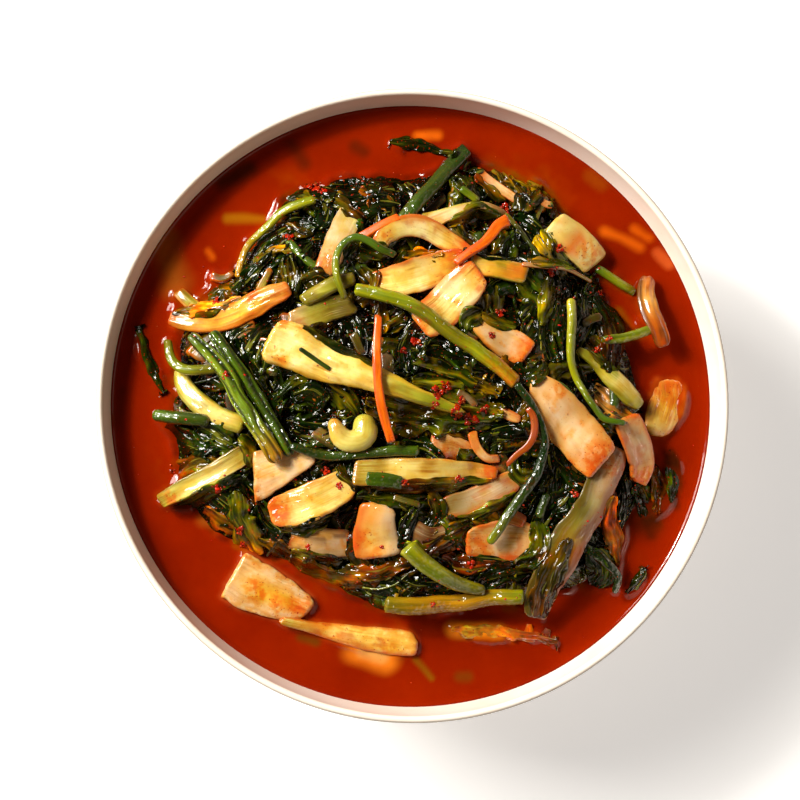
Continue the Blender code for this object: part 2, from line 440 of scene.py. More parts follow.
def grid_faces(rows, columns, wrap=False):
    """Quads of a grid of points, whose columns may close into a ring."""
    i = np.arange(rows - 1)[:, None]
    j = np.arange(columns if wrap else columns - 1)[None, :]
    k = (j + 1) % columns
    corners = (i * columns + j, i * columns + k, (i + 1) * columns + k, (i + 1) * columns + j)
    return np.stack(np.broadcast_arrays(*corners), axis=-1).reshape(-1, 4)


def closed_rings(rings, first_tip, last_tip):
    """Points and faces of a solid made of rings of points, closed by a fan to a tip at each end."""
    count, around = rings.shape[:2]
    points = np.concatenate([rings.reshape(-1, 3), np.reshape(first_tip, (1, 3)),
                             np.reshape(last_tip, (1, 3))])
    quads = grid_faces(count, around, wrap=True)[:, ::-1]
    j = np.arange(around)
    k = (j + 1) % around
    total, base = count * around, (count - 1) * around
    triangles = np.concatenate([
        np.stack([np.full(around, total), j, k], axis=-1),
        np.stack([np.full(around, total + 1), base + k, base + j], axis=-1),
    ])
    return points, quads, triangles


def along_path(points, step):
    """Places on a smooth curve through the points, closer at its ends, and how far along each one is."""
    points = np.asarray(points, float)
    ends = np.vstack([2 * points[0] - points[1], points, 2 * points[-1] - points[-2]])
    fine = []
    for a, b, c, d in zip(ends, ends[1:], ends[2:], ends[3:]):
        t = np.linspace(0, 1, 24, endpoint=False)[:, None]
        square, cube = 2 * a - 5 * b + 4 * c - d, 3 * b - a - 3 * c + d
        fine.append(0.5 * (2 * b + (c - a) * t + square * t**2 + cube * t**3))
    fine = np.vstack([*fine, points[-1:]])
    distance = np.concatenate([[0], np.cumsum(np.linalg.norm(np.diff(fine, axis=0), axis=1))])
    length = distance[-1]
    stations = np.linspace(0, length, max(4, int(length / step) + 1))
    inside = stations[(stations > END_STEPS[-1] + 0.2) & (stations < length - END_STEPS[-1] - 0.2)]
    stations = np.concatenate([END_STEPS, inside, length - END_STEPS[::-1]])
    line = np.stack([np.interp(stations, distance, fine[:, i]) for i in range(fine.shape[1])], axis=-1)
    return line, stations


def resting(floor, distance, stiffness):
    """How high a strip lies over an uneven floor, bending no more sharply than its stiffness lets it."""
    drop = stiffness * (distance[:, None] - distance[None, :]) ** 2
    return (floor[None, :] - drop).max(1)


def smoothed(values, passes=3):
    values = np.asarray(values, float)
    for _ in range(passes):
        padded = np.concatenate([values[:1], values, values[-1:]])
        values = (padded[:-2] + 2 * padded[1:-1] + padded[2:]) / 4
    return values


def unit(vectors):
    return vectors / np.maximum(np.linalg.norm(vectors, axis=-1, keepdims=True), 1e-9)


def spread(values, count):
    """Values given at even steps along a piece, smoothly interpolated at each station."""
    values = np.atleast_1d(np.asarray(values, float))
    if len(values) == 1:
        return np.full(count, values[0])
    return smoothed(np.interp(np.linspace(0, 1, count), np.linspace(0, 1, len(values)), values), 6)


_seed = itertools.count(1)


def strip(
    kind, points, widths, thickness, colours, edge=None, stain=(0.1, 0.1), square=2.4, gutter=0.0,
    ridges=0.12, stiffness=0.02, lift=0.0, sink=0.6, ends="cut", around=30, step=1.1, wobble=0.35,
    roll=None, seen=True, grooves=0, slant=None, corner=2.2, sides=(None, None),
):
    """A rib, stem or carrot strip, laid along points on what is there already."""
    seed = next(_seed) * 7.31
    points = np.asarray(points, float)
    if seen:
        guess = BROTH_LEVEL + 0.95 * (relief.at(points[:, 0], points[:, 1], CAD_TOP) - BROTH_LEVEL)
        points = seen_at(points, guess)
    line, distance = along_path(points, step)
    count, length = len(line), distance[-1]
    share = distance / length
    width = spread(widths, count)
    thick = spread(thickness, count)
    line = line + wobble * stacked(*(noise(stacked(distance / 9, seed + i, 0.5)) for i in range(2)))
    ahead = unit(np.gradient(line, axis=0))
    side = np.stack([-ahead[:, 1], ahead[:, 0]], axis=-1)
    soft = relief.soft(min(2.2, 0.8 + 0.12 * float(width.max())))
    left, middle, right = (
        relief.at(*(line + side * (k * 0.36 * width)[:, None]).T, soft) for k in (1, 0, -1)
    )
    tilt = smoothed(np.clip((left - right) / (0.72 * width), -0.5, 0.5), 8) * 0.8
    if roll is not None:
        tilt = np.full(count, math.tan(math.radians(roll)))
    floor = (left + right) / 2 + 0.7 * np.clip(middle - (left + right) / 2, 0, None)
    height = smoothed(resting(floor, distance, stiffness), 4) + thick / 2 - sink + spread(lift, count)
    centre = np.column_stack([line, height])
    ahead = unit(np.gradient(centre, axis=0))
    side = unit(np.column_stack([side, tilt]))
    up = unit(np.cross(ahead, side))

    turn = np.linspace(0, math.tau, around, endpoint=False) + math.pi / around
    across = np.sign(np.cos(turn)) * np.abs(np.cos(turn)) ** (2 / square)
    rise = np.sign(np.sin(turn)) * np.abs(np.sin(turn)) ** (2 / square)
    to_end = np.minimum(distance, length - distance)
    if ends == "cut":
        rounding = max(min(0.3 * float(width.max()), corner), 0.05)
        inset = rounding * (1 - np.sqrt(1 - np.clip(1 - to_end / rounding, 0, 1) ** 2))
        width = width - 2 * np.minimum(inset, 0.35 * width)
        thick = thick * (1 - 0.45 * np.clip(1 - to_end / 0.9, 0, 1) ** 2)
    along_mm, across_mm = distance[:, None], across[None, :] * width[:, None] / 2
    bumps = fractal(stacked(along_mm / 14, across_mm / 2.1, seed + (rise > 0)), 2)
    dents = noise(stacked(along_mm / 7, across_mm / 5, seed + 3.3))
    out = rise[None, :] * thick[:, None] / 2 * (1 + ridges * bumps + 0.16 * dents)
    if grooves:
        warp = 2.2 * noise(stacked(along_mm / 13, across_mm / 4, seed + 1.1))
        valley = 0.5 - 0.5 * np.cos(math.pi * grooves * across[None, :] + warp)
        out = out * (1 - 0.4 * valley**2)
    sway = 0.10 * noise(stacked(along_mm / 11, across_mm / 9, seed + 7.7)) * width[:, None] / 2
    out = out + gutter * (across[None, :] ** 2 - 0.4) * width[:, None] / 2 + sway
    edge_noise = 1 + 0.07 * fractal(stacked(along_mm / 4.5, np.sign(across)[None, :] * 3.0, seed + 5.1), 2)
    ring = centre[:, None] + side[:, None] * (across_mm * edge_noise)[..., None]
    ring = ring + up[:, None] * out[..., None]
    if ends == "cut":
        lean = 0.5 * np.array(noise(stacked(seed, (2.2, 7.9), 0.4))) if slant is None else np.array(slant)
        shear = lean[0] * np.exp(-distance / (0.5 * width))
        shear = shear + lean[1] * np.exp(-(length - distance) / (0.5 * width))
        torn = noise(stacked(across_mm / 1.7, seed, share[:, None] > 0.5))
        ragged = 0.45 * np.exp(-to_end / 1.3)[:, None] * torn
        ring = ring + ahead[:, None] * (across_mm * shear[:, None] * 0.9 + ragged)[..., None]
    tint = strip_tint(share, across, rise, colours, edge, stain, seed, along_mm, across_mm, to_end, sides)
    if grooves:
        # Painted shade: the colour is darkened in the grooves' valleys.
        tint[..., :3] *= (1 - 0.85 * eased(0.6, 1.0, valley))[..., None]
    grain = stacked(along_mm, across_mm, seed)
    top = np.argsort(across[rise > 0])
    relief.cover(ring[:, rise > 0][:, top], tint[:, rise > 0][:, top][..., :3], large=seen)
    add_tube(kind, ring, tint, grain, ahead, ends, thick)
    return ring


def strip_tint(share, across, rise, colours, edge, stain, seed, along_mm, across_mm, to_end, sides):
    """The colour of a strip: along it, deeper in patches, at its edges and at cut ends, with its sauce."""
    base = colour_ramp(colours, share)[:, None].repeat(len(across), axis=1)
    soft = fractal(stacked(along_mm / 10, across_mm / 5, seed + 8), 2)
    streak = noise(stacked(along_mm / 18, across_mm / 1.2, seed + 15))
    base = base * (1 + 0.14 * soft + 0.11 * streak)[..., None]
    base = blend(base, base * JUICY, 0.8 * eased(0.0, 0.9, -soft - 0.1 * streak))
    if edge is not None:
        favoured = across[None, :] * math.copysign(1.0, math.sin(1.7 * seed))
        at_side = eased(0.30, 1.05, favoured + 0.45 * soft + 0.1 * streak)
        far_side = eased(0.72, 1.05, -favoured + 0.25 * soft + 0.08 * streak)
        at_cut = 0.9 * np.exp(-to_end / 1.3)[:, None] * (1 + 0.6 * soft)
        blotch = 0.75 * eased(0.32, 0.62, fractal(stacked(along_mm / 7, across_mm / 3.5, seed + 31), 2))
        share_of_edge = np.maximum(np.maximum(at_side, far_side), np.maximum(at_cut, blotch))
        base = blend(base, np.asarray(edge)[None, None], 0.92 * np.clip(share_of_edge, 0, 1))
    for sign, side_colour in zip((1, -1), sides):
        if side_colour is not None:
            near_side = 0.92 * eased(0.0, 0.9, sign * across[None, :] + 0.35 * soft)
            base = blend(base, np.asarray(side_colour)[None, None], near_side)
    length = along_mm.max()
    reach = 0.14 * length + 1
    near_ends = stain[0] * np.exp(-((along_mm / reach) ** 1.4)) + stain[1] * np.exp(
        -(((length - along_mm) / reach) ** 1.4)
    )
    spots = eased(0.35, 0.62, fractal(stacked(along_mm / 4, across_mm / 3, seed + 21), 2))
    at_edge = eased(0.7, 1.0, np.abs(across))[None, :]
    amount = near_ends * (0.8 + 0.6 * soft) + (0.45 * spots + 0.25 * at_edge) * max(stain)
    amount = amount + 0.25 * (rise < 0)[None, :]
    return np.concatenate([np.clip(base, 0, 1), np.clip(amount, 0, 1)[..., None]], axis=-1)


def add_tube(kind, ring, tint, grain, ahead, ends, thick):
    """Close a row of rings into a solid. A cut end is flat with a rounded edge, a round end is domed."""
    start_style, end_style = (ends, ends) if isinstance(ends, str) else ends

    def cap(edge, outward, style, reach):
        middle = edge.mean(0)
        if style == "cut":
            steps = ((0.93, 0.10), (0.70, 0.14))
        else:
            steps = ((0.92, 0.35), (0.70, 0.68), (0.40, 0.88))
        return [middle + (edge - middle) * scale + outward * reach * out for scale, out in steps]

    before = cap(ring[0], -ahead[0], start_style, thick[0] * 0.5)
    after = cap(ring[-1], ahead[-1], end_style, thick[-1] * 0.5)
    points, quads, triangles = closed_rings(
        np.stack([*reversed(before), *ring, *after]),
        before[-1].mean(0) - ahead[0] * 0.05 * thick[0],
        after[-1].mean(0) + ahead[-1] * 0.05 * thick[-1],
    )
    tints = np.concatenate([tint[:1].repeat(len(before), 0), tint, tint[-1:].repeat(len(after), 0)])
    grains = np.concatenate([grain[:1].repeat(len(before), 0), grain, grain[-1:].repeat(len(after), 0)])
    kind.add(
        points,
        quads[:, ::-1],
        triangles[:, ::-1],
        np.concatenate([tints.reshape(-1, 4), tint[0].mean(0)[None], tint[-1].mean(0)[None]]),
        np.concatenate([grains.reshape(-1, 3), grain[0, :1], grain[-1, :1]]),
    )


def leaf(
    kind, points, widths, colours, vein=None, stain=0.1, crumple=1.0, pleats=3.0, ruffle=1.0, lift=0.0,
    drape=2.4, thickness=0.5, step=0.95, seen=True, cup=0.0, shape=0.5, hug=False,
):
    """A wet leaf laid along points: a closed crumpled sheet, draped over what is there already."""
    seed = next(_seed) * 5.77
    points = np.asarray(points, float)
    if seen:
        guess = BROTH_LEVEL + 0.92 * (relief.at(points[:, 0], points[:, 1], CAD_TOP) - BROTH_LEVEL)
        points = seen_at(points, guess)
    line, distance = along_path(points, step)
    count, length = len(line), distance[-1]
    share = distance / length
    width = spread(widths, count) * np.clip(4 * share * (1 - share) + 0.12, 0, 1) ** shape
    width = width * (1 + 0.25 * noise(stacked(distance / 4, seed, 0.7)))
    pleats = max(float(pleats), 1.0)
    columns = max(7, int(4 * pleats) + 2, int(float(width.max()) / step) + 1)
    across = np.linspace(-1, 1, columns)
    ahead = unit(np.gradient(line, axis=0))
    side = np.stack([-ahead[:, 1], ahead[:, 0]], axis=-1)
    along_mm, across_mm = distance[:, None], across[None, :] * width[:, None] / 2
    outer = np.abs(across)[None, :] ** 3

    turn = math.pi * pleats * across[None, :] + 3.4 * noise(stacked(along_mm / 8, across_mm / 5, seed))
    spacing = float(width.mean()) / pleats
    come_and_go = eased(-0.7, 0.6, noise(stacked(along_mm / 8, across_mm / 6, seed + 2)))
    depth = crumple * min(0.42 * spacing, 1.5) * come_and_go
    ridge = 0.8 * np.sin(turn) + 0.2 * np.sin(2 * turn + 1.0)
    fold = math.copysign(0.8 * spacing / math.tau, math.sin(seed)) * np.cos(turn) * come_and_go
    sway = stacked(*(noise(stacked(along_mm / 4.5, across_mm / 5, seed + i)) for i in range(2)))
    plan = line[:, None] + side[:, None] * (across_mm + fold)[..., None]
    plan = plan + sway * (0.4 + 1.5 * ruffle * outer)[..., None]
    x, y = plan[..., 0], plan[..., 1]
    soft = blur(np.maximum(relief.height, relief.soft(1.5)), drape * 0.5)
    base = np.maximum(relief.at(x, y, soft), relief.at(x, y, relief.soft(1.0)) - 0.5)
    scale = 1.0 + 0.55 * math.sin(3.1 * seed)
    crinkle = creases(stacked(along_mm / (4.4 * scale), across_mm / (2.8 * scale), seed + 4), 2) - 0.7
    uneven = 3 * noise(stacked(along_mm / 6, np.sign(across_mm), seed))
    frill = 0.8 * ruffle * outer * np.sin(1.3 * along_mm + uneven)
    swell = 1.2 * noise(stacked(along_mm / 7, across_mm / 6, seed + 6))
    high = depth * ridge + crumple * ((0.9 + 0.3 * scale) * crinkle + swell) + frill - 0.7 * outer
    high = high + cup * outer * width[:, None] / 2 + 0.5 * depth
    ribbed = vein_lines(share, across, seed, along_mm) if vein is not None else np.zeros_like(high)
    z = base + high + 0.35 * ribbed + spread(lift, count)[:, None]
    if hug:
        z = np.maximum(z, relief.at(x, y) + 0.15)
    sheet = np.dstack([x, y, z])
    # How high a place stands among the folds; leaf_tint uses it for painted shade.
    crest = 0.4 * ridge * come_and_go + 1.1 * crinkle
    tint = leaf_tint(share, across, crest, colours, vein, ribbed, stain, seed, along_mm, across_mm)
    grain = stacked(along_mm, across_mm, seed)
    relief.cover(sheet, tint[..., :3])
    add_sheet(kind, sheet, tint, grain, thickness)
    return sheet


def vein_lines(share, across, seed, along_mm):
    """A midrib and finer veins that fan out from it, as 0 to 1."""
    v = across[None, :] + 0.16 * noise(stacked(along_mm / 9, seed, 0.3))
    middle = np.exp(-((v / 0.13) ** 2)) * (1.1 - 0.7 * share[:, None])
    fan = v * (2.0 + 1.2 * share[:, None]) + 0.5 * noise(stacked(along_mm / 6, seed, 5.5))
    side = np.exp(-(((fan - np.rint(fan)) / 0.10) ** 2)) * (np.abs(fan) > 0.5)
    return np.clip(np.maximum(middle, 0.45 * side), 0, 1)


def leaf_tint(share, across, crest, colours, vein, ribbed, stain, seed, along_mm, across_mm):
    """The colour of a leaf: painted lighter and greener on its crests and near black between them as painted
    shade, with a paler torn edge.
    """
    base = colour_ramp(colours, share)[:, None].repeat(len(across), axis=1)
    mottle = fractal(stacked(along_mm / 8, across_mm / 4, seed + 12), 2)
    streak = noise(stacked(along_mm / 9, across_mm / 1.3, seed + 19))
    # Painted shade: darker between the folds and lighter on the crests.
    base = base * np.clip(0.8 + 0.5 * mottle + 0.5 * crest + 0.15 * streak, 0.12, 2.4)[..., None]
    base = blend(base, base * (2.2, 2.2, 1.1) + (0.008, 0.016, 0.0), eased(0.35, 0.8, mottle + 0.3 * streak))
    torn = 0.6 * eased(0.80, 1.0, np.abs(across)[None, :] + 0.15 * streak) * eased(-0.2, 0.5, mottle)
    base = blend(base, base * (2.6, 2.6, 1.2) + (0.012, 0.02, 0.0), torn)
    if vein is not None:
        base = blend(base, np.asarray(vein)[None, None], 0.8 * ribbed)
    amount = stain * (0.5 + 1.4 * eased(0.1, 0.6, mottle))
    return np.concatenate([np.clip(base, 0, 1), np.clip(amount, 0, 1)[..., None]], axis=-1)


def add_sheet(kind, sheet, tint, grain, thickness):
    """Give a sheet of points an underside and edges."""
    rows, columns = sheet.shape[:2]
    normal = unit(np.cross(np.gradient(sheet, axis=0), np.gradient(sheet, axis=1)))
    normal = normal * np.sign(normal[..., 2:3] + 1e-9)
    under = sheet - normal * thickness
    total = rows * columns
    top = grid_faces(rows, columns)
    index = np.arange(total).reshape(rows, columns)
    border = np.concatenate([index[0, :-1], index[:-1, -1], index[-1, :0:-1], index[:0:-1, 0]])
    after = np.roll(border, -1)
    sides = np.stack([after, border, border + total, after + total], axis=-1)
    kind.add(
        np.concatenate([sheet.reshape(-1, 3), under.reshape(-1, 3)]),
        np.concatenate([top[:, ::-1], top + total, sides[:, ::-1]]),
        np.zeros((0, 3), int),
        np.concatenate([tint.reshape(-1, 4)] * 2),
        np.concatenate([grain.reshape(-1, 3)] * 2),
    )


# ---- The kinds of piece --------------------------------------------------------------------------

ribs = Kind("cabbage_ribs", "cabbage", [HEAP])
smooth_ribs = Kind("smooth_ribs", "cabbage", [HEAP])
stems = Kind("green_stems", "greens", [HEAP])
carrots = Kind("carrot_strips", "carrot", [HEAP])
dark_leaves = Kind("dark_leaves", "greens", [HEAP])
light_leaves = Kind("light_leaves", "greens", [HEAP])
dark_shreds = Kind("dark_shreds", "greens", [HEAP])
edge_leaves = Kind("edge_leaves", "greens", [HEAP])
DARK_TONE = 0.06  # the greenness below which a torn leaf goes with the dark ones


def leaves_for(tone, dark):
    return dark if tone[1] < DARK_TONE else light_leaves


def lay_tuck(end, inside, width):
    """A torn leaf folded over the end of a rib that comes out from under others."""
    draw = np.random.RandomState(int(abs(1000 * end[0])) % 9999)
    outward = unit(end[:2] - inside[:2])
    x, y = end[:2] + outward * draw.uniform(0.2, 1.6)
    first, second = TONES[draw.randint(len(TONES))]
    heading = math.atan2(outward[0], -outward[1]) + draw.normal(0, 0.35)
    line = bent_line(x, y, heading, width * draw.uniform(1.2, 1.7) + 3, draw.uniform(-1.4, 1.4))
    leaf(leaves_for(first, dark_shreds), line, draw.uniform(4.5, 7.0), [first, second], crumple=0.9,
         pleats=2, seen=False, step=0.8, stain=draw.uniform(0, 0.5), thickness=0.45, drape=1.2, ruffle=0.8,
         lift=0.3, hug=True)


def lay_fringe(ring):
    """Leaf still joined to one side of a rib, torn along its outer edge."""
    draw = np.random.RandomState(int(abs(777 * ring[0, 0, 0])) % 9999)
    rows, around = ring.shape[:2]
    start = draw.uniform(0.0, 0.35)
    picked = np.linspace(start, start + draw.uniform(0.45, 0.65), 5) * (rows - 1)
    picked = picked.astype(int)
    at_side = 0 if draw.uniform() < 0.5 else around // 2
    middle, edge = ring[picked].mean(1)[:, :2], ring[picked, at_side, :2]
    first, second = TONES[draw.randint(len(TONES))]
    tone, width = draw.uniform(0.8, 1.5), draw.uniform(3.2, 6.0)
    line = edge + unit(edge - middle) * width * draw.uniform(0.05, 0.3)
    leaf(leaves_for(first, dark_leaves), line, [0.6 * width, width, width, 0.5 * width],
         [first * tone, second * tone], pleats=1.6, crumple=draw.uniform(0.6, 1.0), seen=False, step=0.9,
         stain=draw.uniform(0, 0.4), thickness=0.45, drape=1.2, ruffle=0.7, lift=0.1, hug=True)


def rib(points, widths, colours, thickness=2.1, tuck="", fringe=None, kind=ribs, **more):
    options = dict(square=4.2, ridges=0.10, stiffness=0.02, around=40, edge=AMBER, stain=(0.35, 0.35),
                   corner=0.9)
    options["gutter"] = 0.09 * math.copysign(1, math.sin(9.1 * points[0][0]))
    options.update(more)
    ring = strip(kind, points, widths, thickness, colours, **options)
    for name, end, inside in (("start", 0, 5), ("end", -1, -6)):
        if name in tuck or tuck == "both":
            lay_tuck(ring[end].mean(0), ring[inside].mean(0), np.ptp(ring[inside], axis=0).max())
    length = float(np.linalg.norm(ring[-1].mean(0) - ring[0].mean(0)))
    if fringe or (fringe is None and options.get("seen", True) and length > 13):
        lay_fringe(ring)
    return ring


def stem(points, widths, colours, thickness=None, **more):
    options = dict(square=2.1, ridges=0.02, stiffness=0.012, around=20, stain=(0.05, 0.05), sink=0.4,
                   corner=0.7)
    options.update(more)
    thickness = 0.85 * np.atleast_1d(widths) if thickness is None else thickness
    return strip(stems, points, widths, thickness, colours, **options)


def grooved_stem(points, width, colours, **more):
    """A stalk with a few deep grooves along it."""
    options = dict(ridges=0.35, around=56, square=2.2, grooves=1.7)
    options.update(more)
    return stem(points, width, colours, **options)


def carrot(points, width=2.8, thickness=2.2, tone=CARROT, **more):
    options = dict(square=4.0, ridges=0.05, stiffness=0.006, around=24, stain=(0.25, 0.5), sink=0.2,
                   wobble=0.2, corner=0.6, edge=tone * (0.85, 0.6, 0.3))
    options.update(more)
    return strip(carrots, points, width, thickness, [tone, tone * 1.05], **options)


def dark_leaf(points, widths, colours=(LEAF, LEAF_BLACK), **more):
    return leaf(dark_leaves, points, widths, colours, **more)


def light_leaf(points, widths, colours=(LEAF_OLIVE, LEAF), **more):
    return leaf(light_leaves, points, widths, colours, **more)


# ---- The heap: what lies underneath, spread evenly -----------------------------------------------


GOLDEN_ANGLE = 2.39996


def outline_at(angle):
    sectors = len(OUTLINE)
    return np.interp(angle % math.tau, (np.arange(sectors) + 0.5) / sectors * math.tau, OUTLINE,
                     period=math.tau)


def scattered(count, seed, reach):
    """Places over the heap, evenly spread, each with a random heading."""
    draw = np.random.RandomState(seed)
    for k in range(count):
        angle = k * GOLDEN_ANGLE + draw.uniform(-0.3, 0.3)
        share = math.sqrt((k + 0.5) / count)
        radius = share * reach * outline_at(angle)
        yield radius * math.cos(angle), radius * math.sin(angle), draw.uniform(0, math.tau), draw


def bent_line(x, y, heading, length, bend):
    """Four points of a gentle arc centred on a place."""
    points = []
    for share in (-0.5, -0.17, 0.17, 0.5):
        turn = heading + bend * share
        points.append((x + math.cos(turn) * share * length, y + math.sin(turn) * share * length))
    return points


def lay_under_leaves(count, seed, reach):
    for x, y, heading, draw in scattered(count, seed, reach):
        length, width = draw.uniform(22, 36), draw.uniform(11, 18)
        tone = draw.uniform(0.7, 1.5)
        dark_leaf(
            bent_line(x, y, heading, length, draw.uniform(-1, 1)), width, [LEAF * tone, LEAF_BLACK],
            crumple=draw.uniform(0.8, 1.3), pleats=draw.uniform(2, 4.5), seen=False, step=1.15,
            stain=draw.uniform(0, 0.25),
        )


def lay_under_strips(count, seed):
    for x, y, heading, draw in scattered(count, seed, 0.86):
        length = draw.uniform(18, 32)
        line = bent_line(x, y, heading, length, draw.uniform(-0.8, 0.8))
        if draw.uniform() < 0.6:
            width = draw.uniform(2.4, 4.2)
            stem(line, [width, width * 0.8], [GREEN, STEM_GREEN * draw.uniform(0.5, 1.0)], seen=False)
        else:
            rib(line, draw.uniform(5, 8), [OLIVE * 0.8, PALE_GREEN * 0.6], thickness=2.2, seen=False)


TONES = (
    (LEAF, LEAF_BLACK), (DARK_GREEN, LEAF_BLACK), (GREEN, LEAF), (DARK_GREEN, GREEN), (LEAF_OLIVE, LEAF),
    (OLIVE * 0.6, LEAF_OLIVE), (BROWN * 0.8, LEAF_OLIVE), (GREEN, STEM_GREEN), (OLIVE, STEM_GREEN * 0.7),
    (STEM_GREEN, LEAF_OLIVE),
)
MIDRIB_TONES = (LIME, OLIVE, PALE_GREEN * 0.7, STEM_GREEN)
THIN_TONES = (GREEN, STEM_GREEN, LIME, PALE_GREEN, OLIVE, DARK_GREEN)
SCRAP_TONES = (MUSTARD, OLIVE, PALE_GREEN * 0.8, LIME, WHITE_PINK * 0.7)


def flow(x, y):
    """The way most small pieces lie near a place."""
    return 4.5 * float(noise(np.array([x / 32, y / 32, 4.4])))


def shadowed(line, share):
    """Whether a line runs mostly over what is dark so far, and clear of the larger pieces."""
    line, _ = along_path(line, 1.5)
    dark = relief.at(line[:, 0], line[:, 1], relief.tint).sum(-1) < 0.32
    clear = relief.at(line[:, 0], line[:, 1], blur(relief.taken, 1.2)) < 0.3
    return float((dark & clear).mean()) >= share


def lay_shreds(count, seed, reach=1.0, over=None):
    """Torn leaves that mostly lie the way their neighbours do, some smooth and some with a pale midrib."""
    for x, y, _, draw in scattered(count, seed, reach):
        width, length = draw.uniform(3.0, 9.5), draw.uniform(14, 32)
        first, second = TONES[draw.randint(len(TONES))]
        line = bent_line(x, y, flow(x, y) + draw.normal(0, 0.5), length, draw.uniform(-1.2, 1.2))
        tone = draw.uniform(0.7, 1.5)
        crumple = draw.choice([0.35, 0.7, 0.9, 1.2])
        stain = draw.uniform(0, 0.4)
        midrib = MIDRIB_TONES[draw.randint(4)] if draw.uniform() < 0.4 else None
        if over is None or shadowed(line, over):
            leaf(leaves_for(first, dark_shreds), line, width, [first * tone, second * tone], crumple=crumple,
                 pleats=width / 3.6, seen=False, step=0.9, stain=stain, thickness=0.45, drape=1.6, ruffle=0.8,
                 hug=over is not None, vein=midrib)


def lay_strands(count, seed, over=None):
    """Thin stalks and veins that have come away."""
    for x, y, _, draw in scattered(count, seed, 0.9):
        line = bent_line(x, y, flow(x, y) + draw.normal(0, 0.35), draw.uniform(7, 18),
                         draw.uniform(-0.6, 0.6))
        width = draw.uniform(0.6, 1.1)
        tone = THIN_TONES[draw.randint(len(THIN_TONES))] * draw.uniform(0.25, 0.7)
        if over is None or shadowed(line, over):
            stem(line, [width, width * 0.7], [tone, tone * 0.7], seen=False, around=8, step=1.3, sink=0.35,
                 stiffness=0.12, ends="round")


def lay_scraps(count, seed, over=None):
    """Small bits of rib."""
    for x, y, _, draw in scattered(count, seed, 0.93):
        line = bent_line(x, y, flow(x, y) + draw.normal(0, 0.6), draw.uniform(6, 13), draw.uniform(-0.3, 0.3))
        width = draw.uniform(2.4, 5.0)
        tone = SCRAP_TONES[draw.randint(len(SCRAP_TONES))] * draw.uniform(0.35, 0.8)
        if over is None or shadowed(line, over):
            rib(line, [width, width * 0.8], [tone, tone * 0.6], thickness=1.4, seen=False, around=24,
                step=1.4, stain=(0.7, 0.5), sink=0.9, edge=LEAF_OLIVE)


lay_under_leaves(30, 3, 0.97)
lay_under_strips(24, 5)
lay_scraps(26, 12)
lay_shreds(120, 21, 1.02)
lay_strands(60, 31)


# ---- The heap: the pieces that show, from the lowest to the highest ------------------------------


def lay_dark_masses():
    """Clumps of dark leaf between the larger pieces: middle, length, heading in degrees, width."""
    clumps = (
        (-37, 71, 20, 10, 9), (-30, 66, 14, 80, 7), (-14, 69, 20, 15, 13), (-15, 75, 20, 0, 6),
        (20, 73, 22, 60, 10), (30, 77, 20, -50, 10), (-47, 57, 26, 35, 8), (-44, 48, 24, 20, 9),
        (-55, 44, 22, 60, 7), (-40, 41, 18, 75, 9), (-24, 27, 22, 30, 15), (-20, 24, 18, 100, 12),
        (-52, 20, 22, 60, 12), (-57, 12, 20, -60, 8), (6, 17, 26, 10, 15), (20, 16, 24, -30, 13),
        (0, 21, 20, 70, 12), (-35, 3, 16, 60, 14), (-18, 4, 24, -30, 9), (-33, -8, 16, 0, 12),
        (-74, -11, 20, -25, 10), (-64, -12, 22, 20, 10), (-86, -20, 16, -80, 5), (-14, 53, 16, 10, 10),
        (32, 44, 20, 20, 10), (44, 40, 24, 70, 14), (48, 28, 26, 85, 16), (60, 30, 24, 80, 14),
        (58, 50, 24, -40, 12), (66, 44, 20, 60, 9), (42, 58, 20, -50, 12), (68, 17, 20, -20, 9),
        (30, 10, 20, -30, 10), (50, -28, 26, 80, 14), (44, -38, 24, 60, 10), (55, -20, 20, -50, 12),
        (28, -10, 20, 20, 12), (66, -52, 22, 80, 10), (30, -58, 24, 20, 8), (-12, -62, 30, -5, 9),
        (-25, -56, 26, -15, 8), (8, -62, 26, 5, 8), (80, -25, 22, -80, 7), (73, -34, 20, 80, 9),
        (-56, -28, 22, -50, 8), (-44, -42, 24, -35, 10), (-25, -19, 22, 5, 7), (-20, -33, 18, 60, 8),
    )
    for k, (x, y, length, degrees, width) in enumerate(clumps):
        line = bent_line(x, y, math.radians(degrees), length, 0.5 if k % 2 else -0.5)
        dark_leaf(line, width, crumple=1.15, pleats=1.5 + (k % 4), stain=0.08 * (k % 3), step=0.9)


